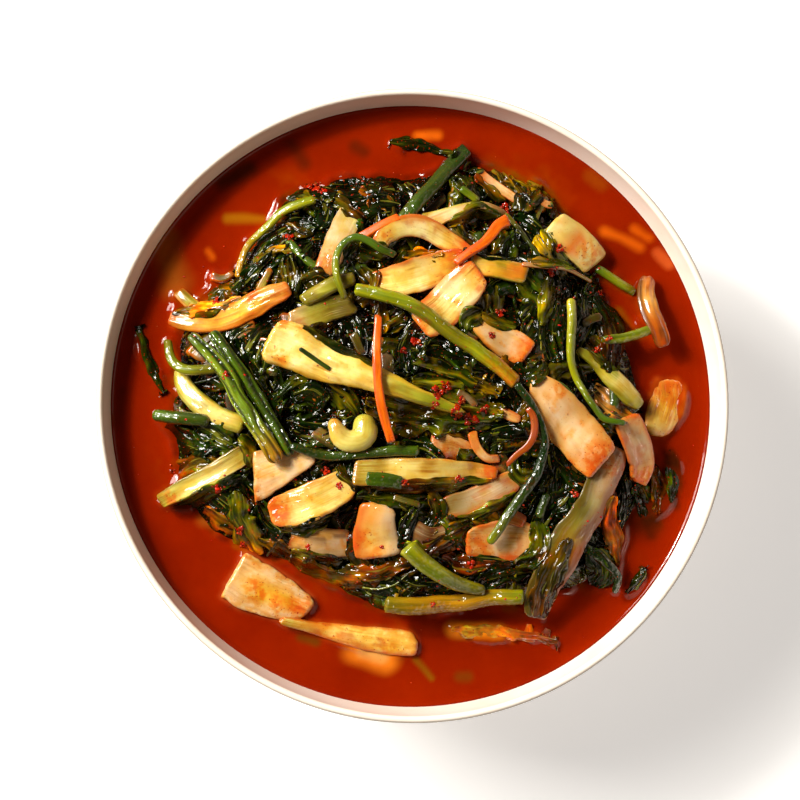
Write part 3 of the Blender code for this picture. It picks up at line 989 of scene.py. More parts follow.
def lay_upper_left():
    stem([(-62.7, 62.2), (-57, 62.3), (-52, 62)], 2.5, [OLIVE], lift=-1.5)
    light_leaf([(-47, 63), (-40, 60), (-34, 58)], 5, [BROWN, LEAF_OLIVE], crumple=0.6, stain=0.5)
    rib([(-68, 42.5), (-64, 42), (-60, 44)], [3.5, 2], [LEAF, OLIVE], thickness=2)
    stem([(-33.5, 69), (-43, 65.4), (-49, 60), (-55, 53.5), (-58, 47.5), (-59, 42.7)], [3.2, 3, 2.6, 2.2],
         [LIME, LIME, MUSTARD], lift=1.0)
    dark_leaf([(-60, 38), (-54, 44), (-48, 50), (-42, 56)], 7, crumple=1.2, pleats=2)
    light_leaf([(-53, 47), (-47, 52), (-41, 53)], 5, [LEAF_OLIVE, PALE_GREEN * 0.5], crumple=0.8, stain=0.3)
    rib([(-52, 38), (-49.5, 43), (-48, 46)], [3, 2], [PALE_GREEN, OLIVE], thickness=2)
    dark_leaf([(-42, 36), (-41, 42), (-42, 50)], 9, [LEAF, LEAF_OLIVE, LEAF], crumple=1.2, pleats=3, lift=1)
    rib([(-21, 65), (-24, 58), (-28, 50), (-31, 44)], [8, 9.5, 8, 5], [PALE_GREEN, WHITE_PINK, PEACH],
        tuck="both", edge=WHITE_PINK * 0.8, stain=(0.0, 0.7))
    rib([(-79, 37.5), (-76, 34.5), (-72, 31.5)], [4, 5], [LIME, PALE_GREEN], thickness=2.4, ridges=0.5)
    rib([(-81, 28), (-72, 27.2), (-62, 29.5), (-52, 34.5), (-42.5, 39)], [4, 7, 9, 8, 5],
        [MUSTARD, YELLOW, YELLOW * 1.15, YELLOW, PEACH], edge=AMBER, stain=(0.4, 0.3), lift=1.0, around=64,
        ridges=0.4, ends=("cut", "round"))
    light_leaf([(-80, 30), (-73, 31.5), (-66, 33), (-58, 36)], 4.5,
               [MUSTARD * 0.8, PEACH * 0.8, WHITE_PINK * 0.8], crumple=0.7, stain=0.3)


def lay_upper_middle():
    stem([(-11, 53), (-7, 56), (-3, 62)], 3, [GREEN], lift=-0.5)
    light_leaf([(-19, 49), (-14, 52), (-8, 50)], 7, [LEAF_OLIVE, LEAF], crumple=1.1, stain=0.2)
    stem([(17.5, 86), (8, 76), (-1, 66), (-4.5, 61)], [5, 5.5, 5, 4.5],
         [DARK_GREEN, GREEN * 0.7, GREEN, STEM_GREEN], thickness=3.2, square=2.8, ridges=0.2, lift=0.5)
    light_leaf([(14, 78), (19, 72), (23, 68)], 9, [GREEN, DARK_GREEN], crumple=0.9, vein=GREEN)
    stem([(16, 73.6), (18.6, 71.5), (21.5, 69)], 2.6, [STEM_GREEN, LIME])
    light_leaf([(24, 84), (30, 79), (36, 72), (40, 66)], 11, [STEM_GREEN, OLIVE, LEAF_OLIVE], crumple=1.1,
               stain=0.4)
    dark_leaf([(31, 83), (37, 83), (44, 85.5)], 4, [DARK_GREEN], crumple=0.5)
    rib([(21.5, 80), (27, 76), (32, 72.5), (36, 70)], [2.4, 3.4, 2.6], [AMBER, WHITE_PINK, WHITE_PINK],
        thickness=1.2, stain=(0.9, 0.2), tuck="both", sink=0.9)
    light_leaf([(40, 78), (46, 72), (51, 64)], 13, [STEM_GREEN, OLIVE, MUSTARD * 0.8], crumple=0.9,
               stain=0.35, vein=LIME)
    light_leaf([(31, 80), (37, 77), (43, 74)], 6, [STEM_GREEN, LIME * 0.8, OLIVE], crumple=1.0, stain=0.3)
    rib([(41.5, 70.5), (44.6, 68.4), (47, 67.5)], [3, 2.2], [AMBER, WHITE_PINK], thickness=1.0, tuck="both",
        sink=0.9)
    rib([(3, 61.5), (11, 64.5), (17, 66.3), (22, 67.3), (28.5, 66), (32, 64.5)], [7, 6, 4, 2.6, 2.4, 2],
        [WHITE_PINK, WHITE_PINK * 1.3, WHITE_PINK, MUSTARD], thickness=2.4, edge=PALE_GREEN,
        stain=(0.3, 0.1), lift=0.8)
    stem([(31, 65), (36, 60), (40, 55), (43.4, 51)], [2.0, 1.4, 0.8], [OLIVE * 0.8, GREEN * 0.8], lift=0.3)
    carrot([(-18.5, 56.6), (-13.8, 59.2), (-9, 61.6), (-4.8, 63)], 2.8, lift=0.5)
    rib([(-12, 54), (-8.5, 58.2), (-1, 60.6), (7, 58.6), (14, 54.8), (19.5, 51)], [5, 6.5, 7.5, 7.5, 6, 4],
        [CREAM, CREAM * 1.1, IVORY, CREAM, ORANGE], edge=AMBER, stain=(0.2, 0.6), lift=1.2, around=40,
        tuck="start", fringe=False)


def lay_upper_right():
    rib([(47.5, 62), (54.5, 55.5), (61, 48)], [9, 11.5, 10.5],
        [IVORY, CREAM, AMBER * 1.3, IVORY * 0.9, CREAM], edge=CREAM * 0.9, stain=(0.2, 0.2), lift=3.0,
        roll=-6, fringe=False, kind=smooth_ribs)
    light_leaf([(42, 58), (46, 52), (52, 45)], 4, [LIME, PALE_GREEN * 0.7], crumple=0.6)
    light_leaf([(45, 60), (48, 54), (52, 48)], 4, [LIME, GREEN], crumple=0.7)
    stem([(61.5, 46.6), (68, 42.5), (75, 38.2)], [3, 3.2], [STEM_GREEN, LIME, LIME])
    stem([(68.6, 33), (71.5, 29), (74.5, 24.7)], [3.2, 2.4], [LIME, MUSTARD])
    rib([(-15, 40.5), (-6, 42.5), (2, 44.5), (10, 47.6), (18.5, 50.5)], [4, 10, 12, 10, 5],
        [YELLOW, CREAM * 1.15, IVORY * (1, 0.95, 0.8), YELLOW * 1.1, ORANGE], edge=AMBER, stain=(0.2, 0.8),
        around=48, lift=0.4, tuck="start", fringe=False)
    light_leaf([(-4, 50), (3, 51.5), (10, 51.5)], 4, [OLIVE, MUSTARD], crumple=0.8, stain=0.6)
    light_leaf([(24, 41), (26, 35), (25, 29)], 9, [LIME, LEAF_OLIVE, OLIVE], crumple=1.0, pleats=5, vein=LIME)
    light_leaf([(36, 46), (42, 40), (46, 33)], 13, [GREEN, DARK_GREEN], crumple=0.8, vein=STEM_GREEN)
    rib([(18, 48), (27, 46.8), (38.5, 44.8)], [6.5, 7.5, 6.5], [CREAM, YELLOW, AMBER * 1.1], edge=LIME,
        stain=(0.1, 0.3), lift=1.3, tuck="start")
    rib([(37, 48), (45.3, 46.9), (51.8, 45.9), (60, 42)], [1.6, 1.3, 1.1], [WHITE_PINK * 0.7, LIME],
        thickness=1.2, around=16, lift=0.8)
    rib([(22, 45.5), (16.5, 39.5), (10, 33), (2.5, 27)], [8, 14, 14, 9], [CREAM, IVORY, CREAM, CREAM],
        edge=ORANGE, stain=(0.3, 0.2), ridges=0.22, around=48, lift=0.6, fringe=False)
    carrot([(31.6, 62), (27.8, 60), (25.2, 56.9), (22, 53.6), (17.4, 50.4), (14.2, 47.8)],
           [4.4, 3.6, 2.8, 2.4], lift=1.4, ridges=0.2, wobble=0.5)
    rib([(20.5, 30), (28, 24), (35, 20.5), (39.5, 17.5)], [3, 8, 11, 9],
        [PEACH, WHITE_PINK, WHITE_PINK, ORANGE], edge=PEACH, stain=(0.1, 0.9), ridges=0.3, around=48,
        lift=0.4, tuck="start")
    light_leaf([(30, 16), (35, 13), (40, 10)], 7, [MUSTARD, BROWN], crumple=0.6, stain=0.5)


def lay_right():
    rib([(72, -4), (76, -14), (77.6, -20), (76.3, -26)], [9, 11.5, 10, 6], [PEACH, WHITE_PINK * 0.9, PEACH],
        edge=AMBER, stain=(0.1, 0.9), lift=1.8, fringe=False, kind=smooth_ribs)
    light_leaf([(62, 6), (68, 0), (74, -5)], 9, [WHITE_PINK * 0.6, LEAF_OLIVE], crumple=0.7, stain=0.3)
    # Painted highlight: this rib's colours are made paler towards its middle.
    rib([(41.5, 9.5), (47, 1.5), (54, -7), (60, -14), (64, -19.5)], [3.5, 12, 15.5, 16, 13],
        [WHITE_PINK, WHITE_PINK * 1.3, WHITE_PINK * (1.5, 1.45, 1.4), WHITE_PINK * 1.2, ORANGE], edge=PEACH,
        stain=(0.05, 0.8), ridges=0.06, around=52, lift=1.4, thickness=2.6, gutter=-0.05, fringe=False,
        corner=0.8, sides=(PEACH, None), kind=smooth_ribs, tuck="start", slant=(0.0, -0.15))
    rib([(56.3, 18.9), (62.2, 15), (67.3, 9.9), (72.5, 4.7), (76, 0)], [2, 4, 6.5, 7.5, 4],
        [PALE_GREEN, PALE_GREEN * 1.2, CREAM * 0.85, PALE_GREEN * 1.2], edge=LIME, ridges=0.4, lift=1.2,
        stain=(0.0, 0.1), ends=("cut", "round"), fringe=False)
    stem([(64.2, 22), (71.2, 22.7), (77.7, 24.7), (84.5, 26.8)], [3.0, 3.4, 3.0], [STEM_GREEN, LIME, LIME],
         lift=1.4)
    stem([(52.8, 34.6), (53.4, 28.5), (53.4, 22), (53.7, 15.6), (55.7, 9.2), (58.3, 4), (61.5, -0.5),
          (64.7, -4.3), (70.5, -6)], [3.2, 3.2, 2.8, 2.4, 2.2, 2.0],
         [PALE_GREEN, LIME, LIME, STEM_GREEN, STEM_GREEN], lift=1.2, ends="round")


def lay_left():
    rib([(-77.5, 11), (-76.5, 5.5), (-72.9, 1.2), (-68, -2.4), (-63, -5), (-57, -7)], [5, 6.5, 7, 6.5, 6],
        [PALE_GREEN * 1.2, CREAM * 0.95, CREAM * 0.95, PALE_GREEN * 1.2], edge=LIME, stain=(0.2, 0.1),
        thickness=3.4, square=2.6, fringe=False)
    stem([(-82, 20.5), (-80.5, 14.5), (-77, 11.6), (-71, 11.4), (-66, 12)], [2.8, 3.4, 3.2],
         [OLIVE, LIME, OLIVE])
    stem([(-85, -4), (-78, -4.6), (-70, -5.4)], [4.0, 4.6, 4], [STEM_GREEN * 0.8, GREEN * 0.7], ends="round",
         ridges=0.2)
    dark_leaf([(-82.5, -7.5), (-78, -12), (-72, -15)], 7, crumple=1.1)
    dark_leaf([(-72, -8), (-66, -11), (-58, -16)], 9, [DARK_GREEN, GREEN], crumple=1.0, vein=GREEN)
    light_leaf([(-88, -15), (-86.5, -22), (-82, -28)], 4.5, [DARK_GREEN, GREEN], crumple=0.9)
    dark_leaf([(-84.5, -36), (-75, -31.5), (-65, -26.5), (-54.5, -21.5)], [5, 6, 6, 5], [DARK_GREEN, GREEN],
              crumple=0.8, pleats=2)
    rib([(-84, -32.2), (-76, -28), (-66, -22.5), (-55.5, -15.5)], [4.5, 6.5, 7, 6],
        [PALE_GREEN, CREAM * (0.9, 1.0, 0.9), CREAM * 0.9, PALE_GREEN * 1.2], edge=OLIVE, stain=(0.4, 0.3),
        ridges=0.6, around=56, tuck="end", lift=0.5, fringe=False)
    dark_leaf([(-83, -36.5), (-75, -33), (-66, -28.5), (-58, -23.5)], [3, 4.5, 4.5, 3],
              [DARK_GREEN, GREEN, DARK_GREEN], crumple=0.35, pleats=1.5, lift=0.5, hug=True, ruffle=0.4)
    light_leaf([(-70, -35), (-64, -39.5), (-57, -43.5)], [5, 8, 7], [BROWN * 1.3, MUSTARD * 0.7, OLIVE * 0.8],
               crumple=0.5, stain=0.7)
    light_leaf([(-60, -29), (-58.5, -37), (-55.5, -44), (-51, -50)], [7, 9.5, 9, 6],
               [STEM_GREEN, GREEN, OLIVE, BROWN], crumple=0.7, stain=0.3, vein=LIME, pleats=1.4, lift=1.6,
               cup=-0.12)
    light_leaf([(-52, -45), (-45, -49), (-37, -52.5), (-29, -54.5)], [5, 7, 7, 5],
               [OLIVE * 0.8, BROWN, STEM_GREEN * 0.8], crumple=0.8, stain=0.5, lift=0.4)
    rib([(-53.5, -24.8), (-47, -22), (-40, -19.4), (-33.5, -17.4)], [16.5, 14, 8.5, 2.5],
        [WHITE_PINK * 1.2, WHITE_PINK * 1.4, WHITE_PINK * 1.2], edge=WHITE_PINK, stain=(0.35, 0.0),
        fringe=False, around=52, lift=0.6, slant=(0.42, 0.0), thickness=1.8, gutter=-0.1)
    dark_leaf([(-60, 22), (-56, 13), (-50, 3), (-46, -8)], 8, crumple=0.9, pleats=2)
    grooved_stem([(-66.8, 22.8), (-60.9, 15), (-56, 8.6), (-52, 2), (-48, -5), (-44.2, -11.3), (-42, -15.5)],
                 [4.0, 4.6, 4.6, 4.2], [STEM_GREEN, STEM_GREEN, GREEN, STEM_GREEN], lift=1.0, ends="round")
    grooved_stem([(-73.5, 21.5), (-66.8, 15), (-62, 8.6), (-58, 1), (-53, -6.8), (-49.3, -12.6),
                  (-46.7, -17.4)], [4.2, 5.2, 5.6, 5.8], [STEM_GREEN, FRESH_GREEN, FRESH_GREEN * 1.3, FRESH_GREEN, MUSTARD],
                 lift=1.3, ends="round")


def lay_lower_left():
    rib([(-41, -44), (-31, -46), (-21, -46.5)], [8, 10, 9], [PEACH, WHITE_PINK, WHITE_PINK * 0.85],
        edge=BROWN, stain=(0.5, 0.2), tuck="end")
    light_leaf([(-42, -50), (-33, -55.5), (-21, -58), (-10, -57), (-1, -53)], [5, 7, 7, 6],
               [BROWN * 1.2, OLIVE * 0.8, BROWN * 1.2, OLIVE * 0.6], crumple=0.4, pleats=1.5, stain=0.5,
               lift=0.6)
    rib([(-48, -36.5), (-38, -34), (-29, -30), (-21.5, -25.5)], [7, 12.5, 12, 8],
        [ORANGE, CREAM * 0.95, CREAM * 1.1, CREAM], edge=PEACH, stain=(0.7, 0.2), around=52, lift=1.0,
        thickness=3.0, tuck="end")
    dark_leaf([(-21, -20), (-20.5, -27), (-22, -34)], 5, [DARK_GREEN, LEAF], crumple=0.9)
    rib([(-11.5, -33.5), (-12.5, -39), (-12.5, -45), (-11.8, -51.5)], [10.5, 12.5, 15.5, 15.5],
        [PEACH, PEACH, CREAM, PEACH], edge=PEACH * 0.95, stain=(0.0, 0.15), ridges=0.03, around=52,
        square=4.0, lift=1.2, thickness=3.0, sides=(WHITE_PINK * 0.9, AMBER), gutter=-0.1, corner=2.0,
        fringe=False, kind=smooth_ribs)


def lay_lower_middle():
    light_leaf([(-19, -31), (-6, -31.5), (8, -30.5), (20, -28), (30, -31)], [6, 8, 8, 7],
               [GREEN, DARK_GREEN, GREEN], crumple=1.0, vein=STEM_GREEN, stain=0.2)
    light_leaf([(-4, -37), (8, -36.5), (18, -34)], 7, [DARK_GREEN, LEAF], crumple=0.9, vein=GREEN)
    rib([(6, -15), (13, -14), (20, -17)], [10, 9, 6], [WHITE_PINK, PEACH], edge=AMBER, stain=(0.2, 0.5),
        tuck="both")
    rib([(20.3, -9), (21.6, -14), (25.4, -17.8), (30, -18)], [3.4, 3, 2.6], [PEACH, WHITE_PINK], thickness=2)
    rib([(10, -35), (20, -32.5), (29, -28.5), (36, -24.5)], [6, 8.5, 9, 6],
        [OLIVE, WHITE_PINK * 0.8, WHITE_PINK], edge=AMBER, stain=(0.2, 0.4), tuck="both")
    rib([(-20, -22.8), (-8, -22.5), (4, -22.2), (16, -22.4), (29, -23)], [8, 9, 8.5, 6.5, 3.5],
        [PALE_GREEN, CREAM * 0.85, CREAM * 0.95, CREAM * 0.9, AMBER], edge=MUSTARD, ridges=0.05,
        stain=(0.1, 0.6), around=44, lift=0.8, fringe=False)
    light_leaf([(-14, -27.5), (-4, -27.6), (8, -27), (18, -26), (27, -25.5)], [3, 4, 4, 4, 3],
               [OLIVE, BROWN, STEM_GREEN * 0.7, OLIVE], crumple=0.5, stain=0.4, lift=0.2, hug=True,
               ruffle=0.5)
    stem([(-16, -24.5), (-10, -25.2), (-4, -26.4)], 4.6, [STEM_GREEN * 0.8, GREEN], thickness=1.2, square=3.5,
         lift=0.5)
    rib([(-2, -42), (6, -45), (14, -43)], [7, 8, 6], [WHITE_PINK * 0.7, BROWN, WHITE_PINK * 0.7], edge=BROWN,
        stain=(0.6, 0.4), tuck="both")
    light_leaf([(4, -49), (12, -44), (20, -40)], 7, [BROWN, LEAF_OLIVE, LEAF], crumple=1.0, stain=0.5)
    rib([(18, -46.5), (28, -46), (36, -46), (41.5, -48)], [7, 13, 14, 8],
        [PEACH, WHITE_PINK, WHITE_PINK, PEACH], edge=ORANGE * 0.7, stain=(0.8, 0.3), around=48, tuck="end")
    rib([(31.5, -37.5), (35, -38.5), (38, -40)], [4, 5, 4], [PEACH, ORANGE], thickness=2)
    light_leaf([(10, -51), (18, -54), (28, -53)], 5, [BROWN, BROWN * 1.3], crumple=0.9, stain=0.4)
    stem([(-2.6, -47.5), (2.5, -52.3), (9, -56.8), (15.5, -60), (23.6, -62.2)], [6.5, 6, 5, 3.2],
         [LIME, LIME, OLIVE], lift=1.4)
    stem([(-10, -66.4), (2.5, -67.2), (9, -67), (16.8, -66.3), (25.2, -64.8), (36.5, -64.6)],
         [5.4, 6, 6, 5.6, 5], [OLIVE, MUSTARD, MUSTARD, LIME], thickness=5, lift=0.8)


def lay_lower_right():
    stem([(43, -38), (44.5, -34), (46, -30)], 3, [GREEN, DARK_GREEN])
    light_leaf([(69, -29), (66, -39), (68, -46), (68, -54)], [6, 7, 7, 5],
               [BROWN, PEACH, ORANGE * 0.6, BROWN], crumple=0.9, stain=0.7)
    dark_leaf([(76, -22), (80, -30), (76, -38)], 8, crumple=0.7)
    dark_leaf([(88, -18), (88.5, -26), (87, -33)], 3.5, crumple=0.4)
    stem([(58.5, -48), (64, -52.5), (67.4, -57.5), (67, -62.5)], [3.4, 3.2, 3.0, 2.2],
         [DARK_GREEN, LEAF, DARK_GREEN], ends="round")
    rib([(69.5, -14), (65, -25), (60, -35), (54, -44), (48.5, -54), (43.5, -62), (40, -71)],
        [10, 11.5, 12, 12.5, 13, 12, 8], [WHITE_PINK, WHITE_PINK, PALE_GREEN, MUSTARD, OLIVE, OLIVE * 0.5],
        thickness=1.6, edge=BROWN, sides=(AMBER * 0.6, OLIVE * 0.6), stain=(0.1, 0.3), lift=1.6, around=56,
        ridges=0.14, gutter=-0.10, square=3.0, stiffness=0.012, fringe=False, kind=smooth_ribs)
    light_leaf([(53, -45), (48.5, -53), (44, -62), (41, -71)], [3, 8, 11, 8],
               [OLIVE * 0.5, OLIVE * 0.3, BROWN * 0.4], crumple=0.5, pleats=1.5, stain=0.0, lift=0.2,
               hug=True, ruffle=0.5, drape=1.4)


def lay_middle():
    dark_leaf([(-47, 1.5), (-43.5, 5), (-38.4, 8), (-30, 8.5)], 5, [DARK_GREEN, GREEN], crumple=0.7,
              vein=GREEN)
    light_leaf([(-30, 8), (-24, 4), (-18, -3)], 7, [GREEN, STEM_GREEN, GREEN], crumple=0.8, vein=LIME)
    dark_leaf([(-40, 2), (-35, 3), (-30, -1)], 12, [DARK_GREEN, LEAF], crumple=1.2, pleats=6)
    rib([(-42, 27.5), (-35, 30), (-28, 32.5), (-20, 34.5)], [7, 8.5, 8.5, 6],
        [WHITE_PINK, PALE_GREEN * 0.9, OLIVE, OLIVE * 0.8], edge=OLIVE * 0.7, stain=(0.1, 0.1), thickness=2.4)
    rib([(-37.5, 35), (-31.5, 38.5), (-26, 41), (-20, 43)], [4, 5.4, 5.4, 4], [LIME, PALE_GREEN, LIME, OLIVE],
        edge=OLIVE, stain=(0.1, 0.1), thickness=3.4, square=2.4, lift=0.6, fringe=False)
    stem([(-23.5, 35.5), (-26, 43), (-26.3, 49), (-24, 54), (-19.7, 56.2), (-15.5, 55.3), (-11.4, 52.6),
          (-6.5, 50.4)], [2.2, 2.6, 2.6, 2.4], [OLIVE, LIME, STEM_GREEN, STEM_GREEN, GREEN], lift=1.6,
         stiffness=0.02)
    stem([(-19.5, 38.8), (-13, 37.6), (-7, 36), (-2.4, 34.3), (2.5, 31.7), (9, 27.2), (15.5, 22.7),
          (22, 18.2), (28.4, 13.7), (35.2, 7.8)], [4.2, 4.6, 4.8, 4.8, 5.0, 4.8],
         [LIME * 1.15, LIME, OLIVE, LIME * 1.1, MUSTARD], thickness=4.0, lift=1.2, stiffness=0.006,
         stain=(0.1, 0.9))
    rib([(30, -1.5), (33.5, -3.4), (37, -5)], [2, 4, 2], [WHITE_PINK], thickness=1.4, around=20)
    stem([(35.5, 6.5), (40, 0.5), (43.6, -8), (44.6, -14), (42.7, -22), (38.8, -28), (34.9, -33.7),
          (31, -38.8), (26, -45.6)], [2.6, 2.8, 2.6, 3.0, 3.6, 3.6, 3.4, 3.0],
         [DARK_GREEN, DARK_GREEN, LEAF, DARK_GREEN, GREEN, LIME], lift=1.8, ridges=0.25, ends="round")
    carrot([(38.8, -0.9), (40.7, -4), (41, -9.3), (38.8, -13.8), (34.9, -17), (31.6, -20.4)],
           [2.2, 2.6, 2.2, 1.4], 1.4, colour(160, 78, 8), lift=0.6)
    stem([(-41.5, -13.8), (-34, -16.4), (-26.4, -17.2), (-18.7, -16.6), (-9.8, -15.8), (1.8, -15.4)],
         [2.6, 3, 3.2, 3.4, 3.8], [DARK_GREEN, GREEN, GREEN, STEM_GREEN], lift=0.8)
    rib([(-26.2, -7.6), (-24.2, -10.8), (-20.6, -12.2), (-17, -10.4), (-16.4, -6.4)],
        [4.6, 6.8, 7.8, 8.6, 6.8],
        [CREAM * 0.85, CREAM * (0.85, 0.98, 0.9), CREAM * (0.8, 0.95, 0.85), PALE_GREEN * 1.2],
        thickness=6.5, square=2.0, ridges=0.0, lift=1.0,
        stain=(0.15, 0.0), around=32, stiffness=0.01, ends="round", edge=None, gutter=0.0, fringe=False)


def lay_top():
    light_leaf([(-16, 2), (-4, 0), (10, -1), (22, -2), (31, -2.5)], [10, 17, 18, 15, 8],
               [OLIVE, LEAF_OLIVE, STEM_GREEN * 0.7, GREEN], crumple=0.9, pleats=3.2, vein=LIME, stain=0.35,
               lift=1.2, shape=0.35)
    rib([(-49, 22), (-41, 19.6), (-31, 15.4), (-20, 11.3), (-10, 7.6), (0, 3.8), (9, 0.4), (17, -2.4)],
        [15, 15.5, 14.5, 11, 8, 5.5, 4, 2.4],
        [IVORY * (1, 0.95, 0.8), IVORY * (1, 0.97, 0.85), IVORY * (1, 0.95, 0.7), CREAM,
         PALE_GREEN * 1.2, LIME, LIME],
        edge=colour(214, 176, 40), stain=(0.25, 0.0), ridges=0.4, around=60, square=2.6, lift=2.0,
        thickness=[4.5, 5, 4.4, 3.4, 2.4], stiffness=0.008, step=0.9, corner=3.0, slant=(0.1, 0.0),
        gutter=-0.05, fringe=False)
    light_leaf([(-37, 26), (-29, 22), (-21, 17.5), (-13, 13.5)], [2.6, 3.4, 3.4, 2.4],
               [LEAF_OLIVE, LEAF, LEAF_OLIVE], crumple=0.8, ruffle=0.5, lift=0.3, hug=True, drape=1.2)
    stem([(-38.4, 18.6), (-34, 15.6), (-28.4, 12)], 1.5, [DARK_GREEN, GREEN], thickness=1.0, around=14,
         sink=0.1)
    light_leaf([(0, 8), (10, 8.6), (20, 8), (30, 4)], 6, [GREEN, LEAF_OLIVE], crumple=0.8, vein=LIME,
               lift=0.3)
    carrot([(-12.2, 29.4), (-12.8, 20), (-12.4, 9), (-11, -1), (-7.8, -12.4)], [2.4, 2.8, 3.0, 2.8], 2.4,
           lift=0.6, stiffness=0.004)


lay_dark_masses()
lay_upper_left()
lay_upper_middle()
lay_upper_right()
lay_lower_right()
lay_right()
lay_left()
lay_lower_left()
lay_lower_middle()
lay_middle()
lay_top()
lay_shreds(110, 41, 0.95, over=0.97)
lay_scraps(10, 51, over=0.97)
lay_strands(16, 61, over=0.9)
SMOOTH_RELIEF = relief.soft(5.0)


# ---- Pieces that float beside the heap -----------------------------------------------------------


def floating_strip(name, node, points, widths, thickness, colours, **more):
    """A floating rib: its own mesh, in place of its CAD node."""
    kind = Kind(name, "cabbage", [node])
    strip(kind, points, widths, thickness, colours, wobble=0.2, **more)
    return kind, "rib"


def floating_leaf(name, node, slot, finish, points, widths, colours, **more):
    """A floating leaf: its own mesh, in place of its CAD node."""
    kind = Kind(name, slot, [node])
    leaf(kind, points, widths, colours, **more)
    return kind, finish


# Floating pieces are laid a little under the broth's surface where the heap is lower than that
FLOATING_DEPTH = 1.6
relief = Relief(
    np.maximum(relief.height, np.where(OUTSIDE > 1, BROTH_LEVEL - FLOATING_DEPTH, -99.0)), relief.tint
)

FLOATING = [
    floating_strip("floating_fan", "float_cabbage_fan",
                   [(-60.5, -56.5), (-54, -60), (-45, -64.5), (-35, -68.5)], [17, 17, 13.5, 5], 3.0,
                   [WHITE_PINK * 1.1, YELLOW * 1.1, YELLOW, ORANGE], edge=WHITE_PINK, stain=(0.0, 0.6),
                   square=3.4, ridges=0.25, around=60, lift=2.4, corner=0.8, slant=(0.0, 0.3), gutter=-0.08,
                   sides=(WHITE_PINK, WHITE_PINK * 0.95)),
    floating_strip("floating_leaf_strip", "float_leaf_strip",
                   [(-45, -71.5), (-34, -74.2), (-23, -76.6), (-12, -78.4), (1, -80)],
                   [2.6, 3.8, 7, 9.5, 7], 2.6, [PALE_GREEN, PEACH, CREAM, CREAM * 1.1, CREAM], edge=AMBER,
                   stain=(0.5, 0.2), square=2.6, ridges=0.3, around=40, lift=2.0),
    floating_leaf("floating_frill", "float_frill", "cabbage", "rib",
                  [(12.5, -75), (20, -75.6), (30, -76.4), (40, -77.8), (48.5, -80)], [5, 5.5, 4.5, 4, 4],
                  [YELLOW, YELLOW, AMBER, BROWN * 1.6], crumple=0.4, stain=0.5, ruffle=0.5, lift=3.4,
                  thickness=2.6, step=0.7),
    floating_leaf("floating_rim_leaf", "float_rim_leaf", "greens", "leaf",
                  [(77.6, -54.6), (75.6, -59), (72, -63.6)], [3.8, 4.6, 3.2], [LEAF, DARK_GREEN, LEAF],
                  crumple=0.6, ruffle=0.4, lift=3.3, thickness=1.8, step=0.6),
    floating_strip("floating_curl", "float_curl",
                   [(79, 43.5), (77.8, 37.5), (79, 31), (81.5, 25), (83.5, 19.5)], [4.5, 6, 6.5, 6, 4.5],
                   3.4, [AMBER, PEACH, AMBER, ORANGE * 0.8], edge=BROWN, stain=(0.2, 0.4), square=2.4,
                   ridges=0.6, gutter=0.3, around=40, lift=1.2),
    floating_strip("floating_rib_right", "float_rib_right", [(86, 9), (86.5, 2.5), (84, -4), (81, -10)],
                   [9, 12.5, 11.5, 7], 3.0, [ORANGE, YELLOW, CREAM * 0.9], edge=PEACH, stain=(0.4, 0.3),
                   square=2.6, ridges=0.15, around=40, lift=0.4),
    floating_leaf("floating_sliver_left", "float_sliver_left", "greens", "leaf",
                  [(-91.6, 26), (-89.6, 18), (-86, 9), (-83.4, 3.6)], [2.8, 4.0, 3.8, 2.4],
                  [LEAF, DARK_GREEN, LEAF], crumple=0.35, ruffle=0.25, lift=3.0, thickness=1.8, step=0.6),
    floating_leaf("floating_leaf_top", "float_leaf_top", "greens", "leaf",
                  [(-8.5, 88.6), (0, 87.9), (7, 86.2), (12.4, 84)], [3.6, 4.6, 4.4, 3.0],
                  [DARK_GREEN, LEAF, DARK_GREEN], crumple=0.35, ruffle=0.25, lift=3.0, thickness=1.8,
                  step=0.6),
]


def lay_edge_leaves():
    """Leaves that hang from the heap's right side and lie half in the broth."""
    options = dict(crumple=0.6, ruffle=0.5, thickness=0.6)
    leaf(edge_leaves, [(62, 37), (66.5, 29), (67.5, 20), (66.5, 11)], [7, 10, 10, 7],
         [DARK_GREEN, LEAF, BROWN * 0.5, LEAF], drape=6, lift=0.8, stain=0.3, **options)
    leaf(edge_leaves, [(76, -27), (79, -33), (81, -39), (80.5, -45)], [6, 9, 8, 5],
         [LEAF, DARK_GREEN, BROWN * 0.5], drape=6, lift=1.2, stain=0.3, **options)
    leaf(edge_leaves, [(81, -20), (83.5, -28), (83, -37)], [4, 7, 5], [BROWN * 0.8, OLIVE * 0.5, BROWN * 0.7],
         drape=5, lift=1.7, stain=0.7, **options)
    leaf(edge_leaves, [(87, -15), (88.3, -24), (87, -33)], [3, 4.2, 3], [LEAF, DARK_GREEN, LEAF], drape=3,
         lift=2.0, **options)
    leaf(edge_leaves, [(60, -49), (63, -55), (61, -61)], [8, 11, 7], [LEAF, DARK_GREEN, LEAF], drape=6,
         lift=1.2, **options)
    leaf(edge_leaves, [(68.5, -31), (66.5, -39), (68.5, -46), (68, -54)], [4, 6.5, 7, 4],
         [PEACH * 0.7, ORANGE * 0.5, PEACH * 0.5, BROWN], drape=4, lift=1.4, stain=0.7, **options)


lay_edge_leaves()


# ---- Materials -----------------------------------------------------------------------------------


